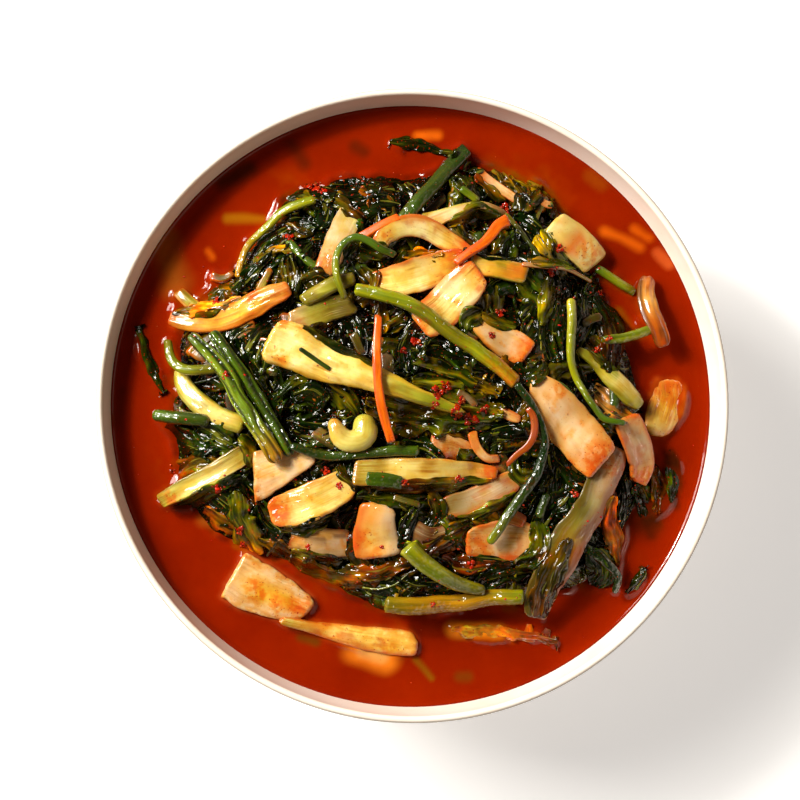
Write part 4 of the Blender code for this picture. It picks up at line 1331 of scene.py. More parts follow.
class Finish:
    """A material under construction, with short ways to add and join nodes."""

    def __init__(self, name):
        self.material = bpy.data.materials.new(name)
        self.material.use_nodes = True
        self.tree = self.material.node_tree
        self.shader = self.tree.nodes["Principled BSDF"]

    def node(self, kind, inputs=None, **settings):
        made = self.tree.nodes.new(kind)
        for name, value in settings.items():
            setattr(made, name, value)
        for name, value in (inputs or {}).items():
            self.join(value, made.inputs[name])
        return made

    def join(self, value, socket):
        if isinstance(value, bpy.types.NodeSocket):
            self.tree.links.new(value, socket)
        else:
            socket.default_value = value

    def set(self, **values):
        for name, value in values.items():
            self.join(value, self.shader.inputs[name.replace("_", " ").title().replace("Ior", "IOR")])

    def maths(self, operation, *values):
        made = self.node("ShaderNodeMath", operation=operation)
        for socket, value in zip(made.inputs, values):
            self.join(value, socket)
        return made.outputs[0]

    def scaled(self, vector, scale):
        return self.node("ShaderNodeVectorMath", {0: vector, 1: scale}, operation="MULTIPLY").outputs[0]

    def noise(self, vector, scale=1.0, detail=3.0, roughness=0.5):
        inputs = {"Vector": vector, "Scale": scale, "Detail": detail, "Roughness": roughness}
        return self.node("ShaderNodeTexNoise", inputs).outputs["Fac"]

    def span(self, value, low, high, to_low=0.0, to_high=1.0):
        inputs = {"Value": value, "From Min": low, "From Max": high, "To Min": to_low, "To Max": to_high}
        return self.node("ShaderNodeMapRange", inputs).outputs[0]

    def varied(self, base, low, high, share):
        """The base colour, multiplied by what lies between a low and a high colour."""
        return self.mix(base, self.mix(low, high, share), 1.0, "MULTIPLY")

    def mix(self, first, second, share, mode="MIX"):
        made = self.node("ShaderNodeMix", data_type="RGBA", blend_type=mode)
        self.join(share, made.inputs[0])
        self.join(first, made.inputs[6])
        self.join(second, made.inputs[7])
        return made.outputs[2]

    def attribute(self, name, output="Color"):
        return self.node("ShaderNodeAttribute", attribute_name=name).outputs[output]

    def bump(self, height, distance, strength=1.0, normal=None):
        inputs = {"Height": height, "Distance": distance * MM, "Strength": strength}
        if normal is not None:
            inputs["Normal"] = normal
        return self.node("ShaderNodeBump", inputs).outputs[0]


def rgba(linear):
    return (*(float(v) for v in linear), 1.0)


def place_vector(finish):
    """The place in the row frame, in millimetres."""
    return finish.scaled(finish.node("ShaderNodeTexCoord").outputs["Object"], (1000, 1000, 1000))


def stained(finish, base, places, strength=0.9, wash=0.35):
    """Red broth soaks in where the tint says so: amber at first, then orange, with specks of chilli."""
    amount = finish.attribute("tint", "Alpha")
    blotches = finish.noise(places, 0.42, 2.0, 0.55)
    share = finish.maths("MULTIPLY", amount, finish.span(blotches, 0.38, 0.58, 0.15, 1.6))
    amber = finish.mix(base, (1.0, 0.66, 0.22, 1.0), 1.0, "MULTIPLY")
    soaked = finish.mix(finish.mix(base, (1.0, 0.38, 0.04, 1.0), 1.0, "MULTIPLY"), rgba(colour(204, 84, 6)),
                        wash)
    colour_out = finish.mix(base, amber, finish.span(share, 0.0, 0.45, 0.0, strength))
    colour_out = finish.mix(colour_out, soaked, finish.span(share, 0.45, 1.2, 0.0, strength))
    specks = finish.span(finish.noise(places, 1.5, 1.0, 0.4), 0.68, 0.73)
    specks = finish.maths("MULTIPLY", specks, finish.span(amount, 0.0, 0.5, 0.2, 1.0))
    return finish.mix(colour_out, rgba(colour(160, 30, 2)), specks)


def rib_finish(name="cabbage_rib", fibrousness=1.0, juice=(0.88, 0.72, 0.32, 1)):
    """Pale wet cabbage: fibres along the grain, juicy yellow patches and soaked-in sauce."""
    finish = Finish(name)
    grain, places = finish.attribute("grain", "Vector"), place_vector(finish)
    fibres = finish.noise(finish.scaled(grain, (0.05, 1.5, 3.1)), 1.0, 2.0, 0.5)
    threads = finish.noise(finish.scaled(grain, (0.04, 2.6, 4.1)), 1.0, 1.0, 0.5)
    veins = finish.noise(finish.scaled(grain, (0.03, 0.8, 2.2)), 1.0, 1.0, 0.4)
    patches = finish.noise(places, 0.20, 2.0, 0.5)
    fibrous = finish.span(finish.noise(places, 0.09, 1.0), 0.47, 0.64, 0.0, fibrousness)
    base = finish.attribute("tint")
    lined = finish.varied(base, (0.84, 0.74, 0.48, 1), (1.03, 1.03, 1.03, 1), finish.span(fibres, 0.30, 0.58))
    base = finish.mix(base, lined, finish.span(fibrous, 0.0, 1.0, 0.2 * fibrousness, 0.95))
    # Pale fibres along the grain, which also serve as painted streak highlights.
    pale = finish.maths("MULTIPLY", finish.span(threads, 0.58, 0.70, 0.0, 0.3), fibrous)
    base = finish.mix(base, rgba(colour(250, 240, 196)), pale)
    browned = finish.mix(base, (0.66, 0.40, 0.12, 1), 1.0, "MULTIPLY")
    brown_share = finish.maths("MULTIPLY", finish.span(veins, 0.62, 0.70, 0.0, 0.8), fibrous)
    base = finish.mix(base, browned, brown_share)
    base = finish.varied(base, juice, (0.98, 0.96, 0.88, 1), finish.span(patches, 0.36, 0.60))
    base = stained(finish, base, places, 0.8)
    body = finish.bump(fibres, 0.25, 0.4 * fibrousness)
    ripples = finish.noise(finish.scaled(grain, (0.16, 0.5, 1.7)), 1.0, 1.0)
    wet = finish.bump(ripples, 1.3, 0.7, finish.bump(fibres, 0.2, 0.3 * fibrousness))
    finish.set(base_color=base, normal=body, coat_normal=wet, roughness=0.38, ior=1.38, coat_weight=1.0,
               coat_roughness=0.04, coat_ior=1.5, subsurface_weight=0.35, subsurface_scale=2.2 * MM,
               subsurface_radius=(1.0, 0.6, 0.25))
    return finish.material


def stem_finish():
    finish = Finish("green_stem")
    grain, places = finish.attribute("grain", "Vector"), place_vector(finish)
    fibres = finish.noise(finish.scaled(grain, (0.04, 1.6, 2.3)), 1.0, 1.0, 0.5)
    bands = finish.noise(finish.scaled(grain, (0.03, 0.7, 1.9)), 1.0, 1.0, 0.5)
    base = finish.attribute("tint")
    base = finish.varied(base, (0.80, 0.84, 0.56, 1), (1.14, 1.12, 1.0, 1), finish.span(fibres, 0.34, 0.62))
    base = finish.varied(base, (0.62, 0.72, 0.5, 1), (1.22, 1.16, 1.0, 1), finish.span(bands, 0.36, 0.62))
    base = stained(finish, base, places, 0.7, 0.1)
    body = finish.bump(fibres, 0.2, 0.3)
    wet = finish.bump(finish.noise(finish.scaled(grain, (0.5, 0.7, 1.3)), 1.0, 1.0), 1.2, 0.9)
    finish.set(base_color=base, normal=body, coat_normal=wet, roughness=0.35, ior=1.3, coat_weight=1.0,
               coat_roughness=0.03, coat_ior=1.6, subsurface_weight=0.12, subsurface_scale=1.0 * MM,
               subsurface_radius=(0.7, 1.0, 0.2))
    return finish.material


def leaf_finish(name="wet_leaf", coat=1.0, roughness=0.5):
    finish = Finish(name)
    grain, places = finish.attribute("grain", "Vector"), place_vector(finish)
    streaks = finish.noise(finish.scaled(grain, (0.15, 0.70, 1.0)), 1.0, 1.0, 0.4)
    threads = finish.noise(finish.scaled(grain, (0.08, 1.1, 2.0)), 1.0, 1.0, 0.5)
    crinkle = finish.noise(finish.scaled(grain, (0.24, 0.55, 1.3)), 1.0, 0.6, 0.5)
    patches = finish.noise(places, 0.11, 2.0, 0.5)
    smooth = finish.span(finish.noise(finish.scaled(grain, (0.05, 0.1, 1.7)), 1.0, 0.0), 0.38, 0.60)
    base = finish.attribute("tint")
    base = finish.varied(base, (0.30, 0.36, 0.36, 1), (1.9, 1.65, 0.7, 1), finish.span(streaks, 0.38, 0.66))
    base = finish.varied(base, (0.7, 0.8, 1.0, 1), (1.8, 1.1, 0.5, 1), finish.span(patches, 0.42, 0.62))
    base = finish.mix(base, finish.mix(base, (0.20, 0.20, 0.02, 1), 0.6), finish.span(threads, 0.64, 0.70))
    base = stained(finish, base, places, 0.8, 0.06)
    uneven = finish.maths("MULTIPLY", crinkle, finish.span(smooth, 0.0, 1.0, 1.0, 0.25))
    body = finish.bump(streaks, 0.7, 0.7, finish.bump(uneven, 0.8, 0.7))
    wet = finish.bump(uneven, 1.8, 0.9, finish.bump(streaks, 1.5, 1.0))
    finish.set(base_color=base, normal=body, coat_normal=wet, roughness=roughness, specular_ior_level=0.0,
               coat_weight=coat, coat_roughness=0.02, coat_ior=1.5)
    return finish.material


def carrot_finish():
    finish = Finish("carrot")
    grain, places = finish.attribute("grain", "Vector"), place_vector(finish)
    fibres = finish.noise(finish.scaled(grain, (0.15, 1.4, 2.9)), 1.0, 3.0, 0.5)
    base = finish.attribute("tint")
    base = finish.varied(base, (0.74, 0.52, 0.3, 1), (1.02, 0.94, 0.6, 1), finish.span(fibres, 0.35, 0.62))
    base = stained(finish, base, places, 0.35)
    finish.set(base_color=base, normal=finish.bump(fibres, 0.4, 0.4), roughness=0.33, coat_weight=0.7,
               coat_roughness=0.08, coat_ior=1.36, subsurface_weight=0.25, subsurface_scale=1.5 * MM,
               subsurface_radius=(1.0, 0.4, 0.1))
    return finish.material


def broth_finish():
    finish = Finish("red_broth")
    places = place_vector(finish)
    clouds = finish.noise(places, 0.035, 4.0, 0.6)
    grains = finish.noise(places, 1.3, 2.0, 0.5)
    base = finish.attribute("tint")
    base = finish.varied(base, (0.86, 0.80, 0.8, 1), (1.1, 1.2, 1.2, 1), finish.span(clouds, 0.35, 0.65))
    specks = finish.span(grains, 0.71, 0.77, 0.0, 0.6)
    base = finish.mix(base, rgba(colour(120, 14, 2)), specks)
    oily = finish.bump(finish.noise(places, 0.12, 2.0), 0.25, 0.3)
    finish.set(base_color=base, normal=oily, roughness=0.07, ior=1.33, subsurface_weight=0.1,
               subsurface_scale=2.0 * MM, subsurface_radius=(1.0, 0.2, 0.05), coat_weight=0.0)
    return finish.material


def glaze_finish():
    """White glaze with fine pits, painted shade that greys it where it faces outward on the bowl's outside,
    and bare clay under the foot.
    """
    finish = Finish("white_glaze")
    places = place_vector(finish)
    mottle = finish.noise(places, 0.05, 5.0, 0.6)
    pits = finish.noise(places, 0.9, 2.0, 0.5)
    height = finish.node("ShaderNodeSeparateXYZ", {0: places}).outputs["Z"]
    base = finish.mix(rgba(colour(252, 238, 221)), rgba(colour(255, 246, 234)),
                      finish.span(mottle, 0.35, 0.65))
    base = finish.mix(base, rgba(colour(196, 186, 170)), finish.span(pits, 0.70, 0.78, 0.0, 0.35))
    # Painted shade: the glaze is greyed where its surface faces outward, so the bowl's outside is darker.
    corners = finish.node("ShaderNodeTexCoord").outputs
    sideways = finish.scaled(corners["Object"], (1000, 1000, 0))
    outward = finish.node("ShaderNodeVectorMath", {0: corners["Normal"], 1: sideways},
                          operation="DOT_PRODUCT")
    base = finish.mix(base, rgba(colour(188, 175, 159)), finish.span(outward.outputs["Value"], 30.0, 75.0))
    bare = finish.mix(rgba(colour(186, 160, 128)), rgba(colour(206, 184, 156)), finish.span(pits, 0.4, 0.6))
    foot = finish.span(finish.maths("ADD", height, finish.maths("MULTIPLY", mottle, 0.6)), 1.5, 1.9, 1.0, 0.0)
    base = finish.mix(base, bare, foot)
    rough = finish.span(foot, 0.0, 1.0, 0.16, 0.75)
    wavy = finish.bump(finish.noise(places, 0.09, 3.0), 0.5, 0.25)
    finish.set(base_color=base, normal=wavy, roughness=rough, ior=1.5, coat_weight=0.3, coat_roughness=0.08)
    return finish.material


def flake_finish(name="chilli_flake", roughness=0.4):
    finish = Finish(name)
    places = place_vector(finish)
    blotches = finish.noise(places, 0.8, 1.0)
    base = finish.attribute("tint")
    base = finish.varied(base, (0.7, 0.4, 0.4, 1), (1.1, 1.2, 1.0, 1), finish.span(blotches, 0.35, 0.65))
    finish.set(base_color=base, normal=finish.bump(blotches, 0.6, 0.4), roughness=roughness, ior=1.3,
               coat_weight=0.9, coat_roughness=0.05, coat_ior=1.4, subsurface_weight=0.3,
               subsurface_scale=1.0 * MM, subsurface_radius=(1.0, 0.2, 0.05))
    return finish.material


def floor_finish():
    """A pale table that glows a little, as one lit from below, so the bowl's shadow stays light."""
    finish = Finish("studio_floor")
    places = place_vector(finish)
    tone = finish.mix(rgba(colour(247, 247, 246)), rgba(colour(250, 250, 250)),
                      finish.noise(places, 0.01, 2.0))
    finish.set(base_color=tone, roughness=0.9, emission_color=(1.0, 1.0, 1.0, 1.0),
               emission_strength=FLOOR_GLOW)
    return finish.material


FINISHES = {
    "rib": rib_finish(),
    "smooth_rib": rib_finish("smooth_rib", 0.15, (0.94, 0.80, 0.56, 1)),
    "stem": stem_finish(),
    "leaf": leaf_finish("wet_leaf", 0.75),
    "edge_leaf": leaf_finish("edge_leaf", 0.3, 0.6),
    "carrot": carrot_finish(),
}

for kind, finish in (
    (ribs, "rib"), (smooth_ribs, "smooth_rib"), (stems, "stem"), (carrots, "carrot"), (dark_leaves, "leaf"),
    (light_leaves, "leaf"), (dark_shreds, "leaf"), (edge_leaves, "edge_leaf"), *FLOATING,
):
    kind.build(FINISHES[finish])


# ---- Heap core -----------------------------------------------------------------------------------

CORE_BOTTOM = FLOOR_Z + 0.4
CORE_BOTTOM_RADIUS = 38.0


def make_core():
    """What is under the pieces: a crumpled dark mass down to the bowl's floor."""
    rings, sectors = 60, 220
    share = np.linspace(0.0, 1.0, rings + 1)[1:, None]
    turn = np.linspace(0, math.tau, sectors, endpoint=False)[None, :]
    reach = outline_at(turn) + 1.0
    x, y = share * reach * np.cos(turn), share * reach * np.sin(turn)
    crumple = creases(stacked(x / 7, y / 7, 40.2), 2) * 2.0 + 0.5 * noise(stacked(x / 2.4, y / 2.4, 11.0))
    z = CORE.at(x, y) + (crumple - 2.2) * eased(1.0, 0.9, share)
    top = stacked(x, y, z)
    drop = np.linspace(0, 1, 7)[1:, None]
    edge = top[-1:]
    bottom = stacked(CORE_BOTTOM_RADIUS * np.cos(turn), CORE_BOTTOM_RADIUS * np.sin(turn), CORE_BOTTOM)
    under = blend(edge, bottom, drop)
    rows = np.concatenate([top, under])
    peak = float(CORE.at(0.0, 0.0)) - 1
    points, quads, triangles = closed_rings(rows, (0, 0, peak), (0, 0, CORE_BOTTOM))
    made = mesh_object("heap_core", points, quads, triangles, leaf_finish("heap_core", 0.3, 0.6))
    tone = 0.7 + 0.5 * noise(points / 8)
    tint = np.concatenate([LEAF_BLACK[None] * np.clip(tone, 0.3, 2)[:, None],
                           np.full((len(points), 1), 0.3)], axis=1)
    store(made.data, "tint", "FLOAT_COLOR", "color", tint)
    store(made.data, "grain", "FLOAT_VECTOR", "vector", points)
    place(made, "greens", [HEAP])


CORE = Relief(core_heights(), LEAF_BLACK)
make_core()


# ---- Bowl and broth ------------------------------------------------------------------------------

WALL_STEPS = 40
MENISCUS_HEIGHT, MENISCUS_REACH, WALL_CLIMB = 1.1, 1.0, 1.0
CLARITY = 0.9  # the depth at which about a third of a sunk piece's colour still shows


def wall_curve(start, end, count):
    """Part of an ellipse from start, running level, to end, running up and a little outwards."""
    (r0, z0), (r1, z1) = start, end
    turn = np.linspace(0, WALL_SWEEP, count)
    outwards = np.sin(turn) / math.sin(WALL_SWEEP)
    upwards = (1 - np.cos(turn)) / (1 - math.cos(WALL_SWEEP))
    return np.column_stack([r0 + (r1 - r0) * outwards, z0 + (z1 - z0) * upwards])


def arc(centre, radius, start, end, count):
    turn = np.radians(np.linspace(start, end, count))
    return np.column_stack([centre[0] + radius * np.cos(turn), centre[1] + radius * np.sin(turn)])


def inner_wall():
    top = (RIM_RADIUS - 2 * LIP_RADIUS, BOWL_HEIGHT - LIP_RADIUS)
    return wall_curve((FLOOR_RADIUS, FLOOR_Z), top, WALL_STEPS)


def turned(name, profile, steps, finish):
    """A closed solid of revolution from a profile that starts and ends on the axis."""
    body = np.asarray(profile)[1:-1]
    turn = np.linspace(0, math.tau, steps, endpoint=False)
    rows = stacked(body[:, :1] * np.cos(turn), body[:, :1] * np.sin(turn), body[:, 1:2])
    points, quads, triangles = closed_rings(rows, (0, 0, profile[0][1]), (0, 0, profile[-1][1]))
    return mesh_object(name, points, quads, triangles, finish)


def make_bowl():
    lip = (RIM_RADIUS - LIP_RADIUS, BOWL_HEIGHT - LIP_RADIUS)
    outer = wall_curve((FOOT_RADIUS + FOOT_TAPER, FOOT_HEIGHT), (RIM_RADIUS, BOWL_HEIGHT - LIP_RADIUS),
                       WALL_STEPS)
    foot_inner = FOOT_RADIUS - FOOT_WIDTH
    profile = np.vstack([
        [(0.0, FLOOR_Z)],
        inner_wall(),
        arc(lip, LIP_RADIUS, 168, 12, 14),
        outer[::-1],
        arc((FOOT_RADIUS + 0.9, FOOT_HEIGHT - 0.4), 0.9, 100, 170, 4),
        arc((FOOT_RADIUS - 0.7, 0.7), 0.7, 0, -90, 5),
        arc((foot_inner + 0.7, 0.7), 0.7, -90, -180, 5),
        arc((foot_inner - 0.8, UNDERSIDE_Z - 0.8), 0.8, 0, 90, 4),
        [(0.0, UNDERSIDE_Z)],
    ])
    place(turned("glazed_bowl", profile, 192, glaze_finish()), "glaze", ["bowl"])


def make_broth():
    """The liquid: a fine top sheet that climbs at every piece and at the wall, over a plain closed body."""
    wall = inner_wall()
    wall_radius = float(np.interp(BROTH_LEVEL, wall[:, 1], wall[:, 0])) + 0.4
    sectors = 720
    radii = np.concatenate([[20.0, 40.0, 52.0], np.arange(58.0, wall_radius - 0.3, 0.68), [wall_radius]])
    turn = np.linspace(0, math.tau, sectors, endpoint=False)
    x, y = radii[:, None] * np.cos(turn), radii[:, None] * np.sin(turn)
    pierced = (relief.height > BROTH_LEVEL + 0.05).astype(float)
    distance = np.hypot(*np.meshgrid(*(np.fft.fftfreq(COUNT) * COUNT * CELL,) * 2, indexing="ij"))
    reach = np.exp(-distance / MENISCUS_REACH)
    reach /= reach.sum()
    near = np.fft.ifft2(np.fft.fft2(pierced) * np.fft.fft2(reach)).real
    climb = MENISCUS_HEIGHT * np.clip(2 * relief.at(x, y, near), 0, 1) ** 1.15
    climb = climb * (0.35 + 1.1 * eased(-0.3, 0.5, noise(stacked(x / 7, y / 7, 5.5))))
    climb = np.maximum(climb, WALL_CLIMB * np.exp(-(wall_radius - 0.4 - radii[:, None]) / 1.3))
    top = stacked(x, y, BROTH_LEVEL + climb)
    body = wall[wall[:, 1] < BROTH_LEVEL - 1][::-4] + (0.4, 0.0)
    under = stacked(body[:, :1] * np.cos(turn), body[:, :1] * np.sin(turn), body[:, 1:2])
    rows = np.concatenate([top, under])
    points, quads, triangles = closed_rings(rows, (0, 0, BROTH_LEVEL), (0, 0, FLOOR_Z + 0.1))
    made = mesh_object("red_broth", points, quads, triangles, broth_finish())
    store(made.data, "tint", "FLOAT_COLOR", "color", broth_tint(points))
    place(made, "broth", ["broth"])


GLOW = colour(232, 104, 14)
MURK = colour(60, 22, 4)

# What shows blurred from deeper down: its line, width, colour and strength
SUNK = (
    ([(-20, -82.5), (-15, -84), (-9, -85.5)], 6.5, colour(240, 128, 26), 0.85),
    ([(-17, -82), (-11, -83.6)], 4, colour(242, 190, 104), 0.6),
    ([(13, -75), (20, -75.6), (28, -76.4)], 4.2, colour(236, 132, 22), 0.8),
    ([(-62.7, 62.2), (-57, 62.3), (-51, 62)], 2.8, colour(160, 96, 8), 0.75),
    ([(65, 59), (71, 57), (77, 54)], 3.5, GLOW, 0.6),
    ([(75, 60), (80, 57)], 3, GLOW, 0.5),
    ([(83, 52), (87, 48)], 3, colour(224, 100, 40), 0.5),
    ([(-84, 54), (-82, 46), (-80, 41)], 9, colour(150, 80, 18), 0.7),
    ([(-65, 74), (-55, 79)], 5, MURK, 0.8),
    ([(-41, 87), (-37, 81)], 5, MURK, 0.6),
    ([(-20, 87), (-17, 85)], 4, MURK, 0.6),
    ([(60, 78), (64, 75)], 4, colour(150, 70, 8), 0.5),
    ([(0.6, -85.3), (3, -88), (5.8, -91.5)], 2, colour(130, 80, 8), 0.8),
    ([(-38, -77.5), (-33, -79)], 3, colour(80, 60, 8), 0.6),
    ([(15, -91), (18, -91)], 3, colour(110, 60, 8), 0.6),
    ([(1, 91), (8, 91)], 3, GLOW, 0.7),
    ([(-69, 51), (-67.5, 49)], 2.4, GLOW, 0.5),
    ([(76, -18), (82, -30), (78, -40)], 9, MURK, 0.7),
    ([(88, -18), (89, -34)], 3.5, MURK, 0.7),
    ([(-70, -38.5), (-63, -39)], 4, colour(180, 90, 20), 0.6),
    ([(-99, -6), (-97, 4)], 4, MURK, 0.3),
)


def broth_tint(points):
    """The broth's own red, with what lies just under the surface showing through it, softly."""
    x, y = points[:, 0], points[:, 1]
    depth = np.clip(BROTH_LEVEL - relief.height, 0, 40)
    seen = np.where(relief.height > BROTH_LEVEL + 0.3, 0.25, 0.85 * np.exp(-depth / CLARITY))
    weighted = np.stack([blur(relief.tint[..., i] * seen, 0.55) for i in range(3)], axis=-1)
    weight = np.clip(blur(seen, 0.55), 1e-3, 1)
    below = relief.at(x, y, weighted / weight[..., None])
    share = np.clip(relief.at(x, y, weight), 0, 0.8)
    base = blend(np.broadcast_to(BROTH, below.shape), below * (0.95, 0.42, 0.15), share)
    for line, width, tint, strength in SUNK:
        line = np.asarray(line, float)
        nearest = np.full(len(points), 99.0)
        for a, b in zip(line, line[1:]):
            run = b - a
            t = np.clip(((points[:, :2] - a) @ run) / (run @ run), 0, 1)
            nearest = np.minimum(nearest, np.linalg.norm(points[:, :2] - a - t[:, None] * run, axis=1))
        ragged = nearest + 0.22 * width * noise(points / 9)
        share = strength * (1 - eased(0.0, 0.95 * width, ragged))
        base = blend(base, np.broadcast_to(tint, base.shape), share)
    return np.concatenate([np.clip(base, 0, 1), np.ones((len(points), 1))], axis=1)



make_bowl()
make_broth()


# ---- Chilli flakes and paste ---------------------------------------------------------------------

FLAKE_CORNERS = 7
LOOSE_FLAKES, FLOATING_FLAKES = 420, 40
PASTE_DARK, PASTE_BRIGHT = colour(132, 12, 2), colour(206, 44, 8)


def surface_tree():
    """Every visible piece as one tree to drop flakes on."""
    places, faces, total = [], [], 0
    for item in bpy.data.objects:
        if item.type != "MESH" or item.hide_render or item.get("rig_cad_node") or item.name == "glazed_bowl":
            continue
        mesh = item.data
        own = np.empty(len(mesh.vertices) * 3)
        mesh.vertices.foreach_get("co", own)
        places.append(own.reshape(-1, 3) / MM)
        mesh.calc_loop_triangles()
        corners = np.empty(len(mesh.loop_triangles) * 3, int)
        mesh.loop_triangles.foreach_get("vertices", corners)
        faces.append(corners.reshape(-1, 3) + total)
        total += len(mesh.vertices)
    return BVHTree.FromPolygons(np.concatenate(places).tolist(), np.concatenate(faces).tolist())


def dropped(tree, x, y):
    """Where something dropped there lands, and which way that place faces."""
    return tree.ray_cast(Vector((x, y, 140.0)), Vector((0, 0, -1)))[:2]


def flake_points(draw, size, normal, centre, lift):
    """A curled scrap: a ragged ring, with a top and an underside."""
    turn = np.linspace(0, math.tau, FLAKE_CORNERS, endpoint=False) + draw.uniform(0, 6)
    radius = size * draw.uniform(0.55, 1.1, FLAKE_CORNERS) / 2
    stretch = draw.uniform(0.4, 0.9)
    plane_x, plane_y = radius * np.cos(turn), radius * np.sin(turn) * stretch
    curl = draw.uniform(-0.35, 0.5) * plane_x**2 / size
    normal = unit(np.array(normal) + draw.normal(0, 0.4, 3))
    first = unit(np.cross(normal, (0.3, 0.9, 0.2)))
    second = np.cross(normal, first)
    thick = 0.12 + 0.06 * size

    def placed(scale, height):
        return (
            centre + first * (plane_x * scale)[:, None] + second * (plane_y * scale)[:, None]
            + normal * (curl * scale + height + lift)[:, None]
        )

    low, high = placed(1.0, 0.0), placed(0.85, thick)
    top = centre + normal * (thick * 1.15 + lift)
    bottom = centre + normal * (lift - 0.02)
    return np.vstack([low, high, [top], [bottom]])


def flake_faces():
    j = np.arange(FLAKE_CORNERS)
    k = (j + 1) % FLAKE_CORNERS
    quads = np.stack([j, k, k + FLAKE_CORNERS, j + FLAKE_CORNERS], axis=-1)
    tops = np.stack([j + FLAKE_CORNERS, k + FLAKE_CORNERS, np.full(FLAKE_CORNERS, 2 * FLAKE_CORNERS)],
                    axis=-1)
    bottoms = np.stack([k, j, np.full(FLAKE_CORNERS, 2 * FLAKE_CORNERS + 1)], axis=-1)
    return quads, np.concatenate([tops, bottoms])


def make_clumps():
    """Chilli paste: smooth drops of wet sauce at each cluster of flakes, laid on what is there."""
    kind = Kind("chilli_paste", "chilli", [])
    rings, sectors = 6, 20
    share = np.linspace(0.1, 1.0, rings)[:, None]
    turn = np.linspace(0, math.tau, sectors, endpoint=False)[None, :]
    for k, (x, y, size, _) in enumerate(CLUSTERS):
        for part in range(3):
            lean = part * 2.3 + k
            middle = (x + 0.42 * size * math.cos(lean), y + 0.42 * size * math.sin(lean))
            ragged = 1 + 0.55 * fractal(stacked(1.1 * np.cos(turn), 1.1 * np.sin(turn), k * 3.1 + part), 2)
            reach = (0.28 + 0.07 * part) * size * ragged * share
            px, py = middle[0] + reach * np.cos(turn), middle[1] + reach * np.sin(turn)
            floor = relief.at(px, py, PASTE_FLOOR)
            bulge = 0.26 * min(size, 3.2) * (0.75 + 0.5 * noise(stacked(px / 1.8, py / 1.8, k)))
            top = stacked(px, py, floor + bulge * np.sqrt(np.clip(1 - share**2, 0, 1)) - 0.1)
            under = stacked(px, py, floor - 0.7)[::-1]
            rows = np.concatenate([top, under])
            points, quads, triangles = closed_rings(rows, top[0].mean(0), under[-1].mean(0))
            tone = blend(PASTE_DARK, PASTE_BRIGHT, np.clip(0.5 + 0.6 * noise(points / 1.6), 0, 1))
            kind.add(points, quads, triangles, np.column_stack([tone, np.zeros(len(points))]), points)
    kind.build(flake_finish("chilli_paste", 0.2), sauce=False)




def make_flakes(tree):
    draw = np.random.RandomState(77)
    kind = Kind("chilli_flakes", "chilli", [])
    quads, triangles = flake_faces()
    spots = [
        (x + draw.normal(0, 0.42 * s), y + draw.normal(0, 0.42 * s), 1.0, draw.uniform(0, 0.3))
        for x, y, s, n in CLUSTERS for _ in range(n)
    ]
    clustered = len(spots)
    while len(spots) < clustered + LOOSE_FLAKES:
        x, y = draw.uniform(-86, 86, 2)
        inside = math.hypot(x, y) < outline_at(math.atan2(y, x))
        if inside and noise(np.array([x / 7, y / 7, 2.2])) + draw.uniform(-0.3, 0.5) > 0.25:
            on_pale = float(relief.at(x, y, relief.tint).sum()) > 0.75
            if not on_pale or draw.uniform() < 0.12:
                spots.append((x, y, 0.85, 0.0))
    while len(spots) < clustered + LOOSE_FLAKES + FLOATING_FLAKES:
        angle, radius = draw.uniform(0, math.tau), draw.uniform(72, 98)
        spots.append((radius * math.cos(angle), radius * math.sin(angle), 0.6, 0.0))
    for x, y, scale, lift in spots:
        hit, normal = dropped(tree, x, y)
        if hit is None or hit.z < BROTH_LEVEL - 1:
            continue
        size = scale * float(np.clip(draw.lognormal(-0.3, 0.5), 0.35, 1.9))
        points = flake_points(draw, size, normal, np.array(hit), lift - 0.05)
        shade = colour(*(draw.uniform(136, 214), draw.uniform(18, 80), draw.uniform(2, 14)))
        tint = np.tile([*shade, 0.0], (len(points), 1))
        kind.add(points, quads, triangles, tint, points)
    kind.build(flake_finish(), sauce=False)


PASTE_FLOOR = np.maximum(relief.soft(0.7), relief.height - 0.6)
make_clumps()
make_flakes(surface_tree())


# ---- Stage, light and camera ---------------------------------------------------------------------


def make_floor():
    mesh = bpy.data.meshes.new("floor")
    mesh.from_pydata([(-3, -3, 0), (3, -3, 0), (3, 3, 0), (-3, 3, 0)], [], [(0, 1, 2, 3)])
    mesh.materials.append(floor_finish())
    floor = bpy.data.objects.new("floor", mesh)
    bpy.context.scene.collection.objects.link(floor)
    floor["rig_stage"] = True


def aimed(item, place_at, target, roll_up=Vector((0, 1, 0))):
    """Turn a camera or light at a place to look at a target, with the frame's +Y upwards."""
    back = (Vector(place_at) - Vector(target)).normalized()
    right = roll_up.cross(back).normalized()
    up = back.cross(right)
    turn = Matrix((right, up, back)).transposed().to_4x4()
    item.matrix_world = Matrix.Translation(place_at) @ turn


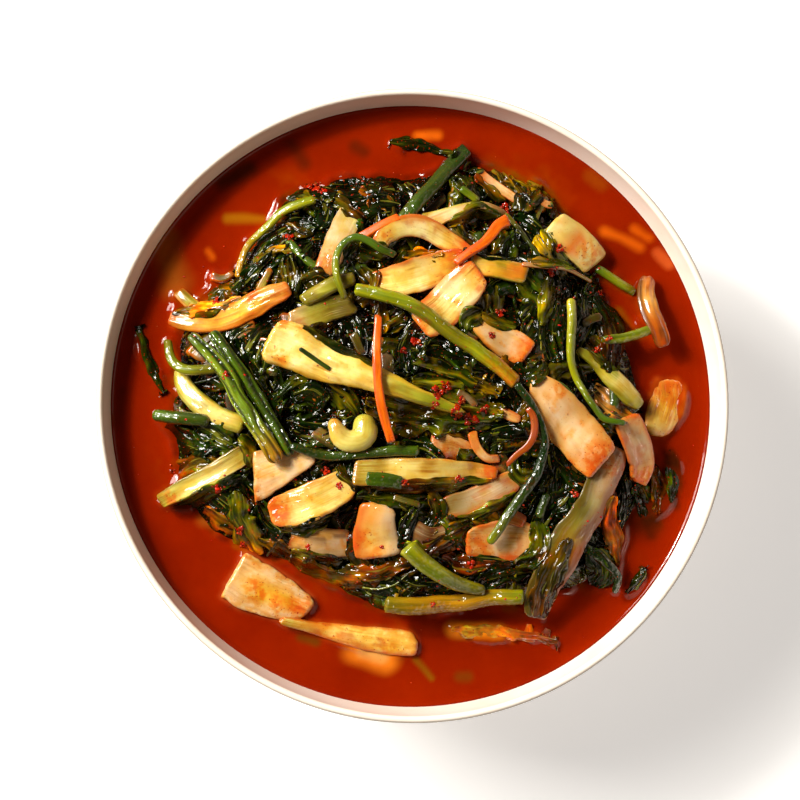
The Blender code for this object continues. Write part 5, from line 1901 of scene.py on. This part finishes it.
def add_light(name, direction, distance, size, power, tone):
    """A rectangle of light that faces the food, its distance and size in metres and its power in watts."""
    data = bpy.data.lights.new(name, "AREA")
    data.shape = "RECTANGLE"
    data.size, data.size_y = size
    data.energy = power
    data.color = tone
    light = bpy.data.objects.new(name, data)
    bpy.context.scene.collection.objects.link(light)
    target = Vector((0, 0, 0.06))
    aimed(light, target + Vector(direction).normalized() * distance, target, Vector((0.1, 0.2, 1)))


def make_camera():
    data = bpy.data.cameras.new("camera")
    data.lens = CAMERA_LENS
    data.sensor_width = 36.0
    data.shift_x, data.shift_y = CAMERA_SHIFT
    data.clip_start, data.clip_end = 0.05, 20
    camera = bpy.data.objects.new("camera", data)
    bpy.context.scene.collection.objects.link(camera)
    aimed(camera, camera_place() * MM, CAMERA_TARGET * MM)
    bpy.context.scene.camera = camera


def make_world(horizon, zenith):
    """A plain pale room, dimmer overhead than at the sides."""
    world = bpy.data.worlds.new("studio")
    world.use_nodes = True
    nodes, links = world.node_tree.nodes, world.node_tree.links
    direction = nodes.new("ShaderNodeTexCoord")
    split = nodes.new("ShaderNodeSeparateXYZ")
    level = nodes.new("ShaderNodeMapRange")
    level.inputs["From Min"].default_value, level.inputs["From Max"].default_value = 0.0, 0.9
    level.inputs["To Min"].default_value, level.inputs["To Max"].default_value = horizon, zenith
    links.new(direction.outputs["Generated"], split.inputs[0])
    links.new(split.outputs["Z"], level.inputs["Value"])
    links.new(level.outputs[0], nodes["Background"].inputs["Strength"])
    nodes["Background"].inputs["Color"].default_value = (1.0, 0.76, 0.54, 1)
    bpy.context.scene.world = world


make_floor()
add_light("window", (-0.80, 0.46, 0.70), 1.3, (0.66, 0.60), 29, (1.0, 0.96, 0.89))
add_light("lamp", (-0.74, 0.50, 0.76), 1.3, (0.13, 0.13), 9, (1.0, 0.96, 0.90))
add_light("white_card", (0.9, -0.35, 0.42), 1.7, (2.2, 1.3), 6.2, (1.0, 0.88, 0.76))
make_world(0.34, 0.02)
make_camera()
bpy.context.scene.view_settings.view_transform = "Standard"
bpy.context.scene.view_settings.look = "None"

[[list(map(float, corner)) for corner in box] for box in (CAD_BOUNDS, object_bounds())]
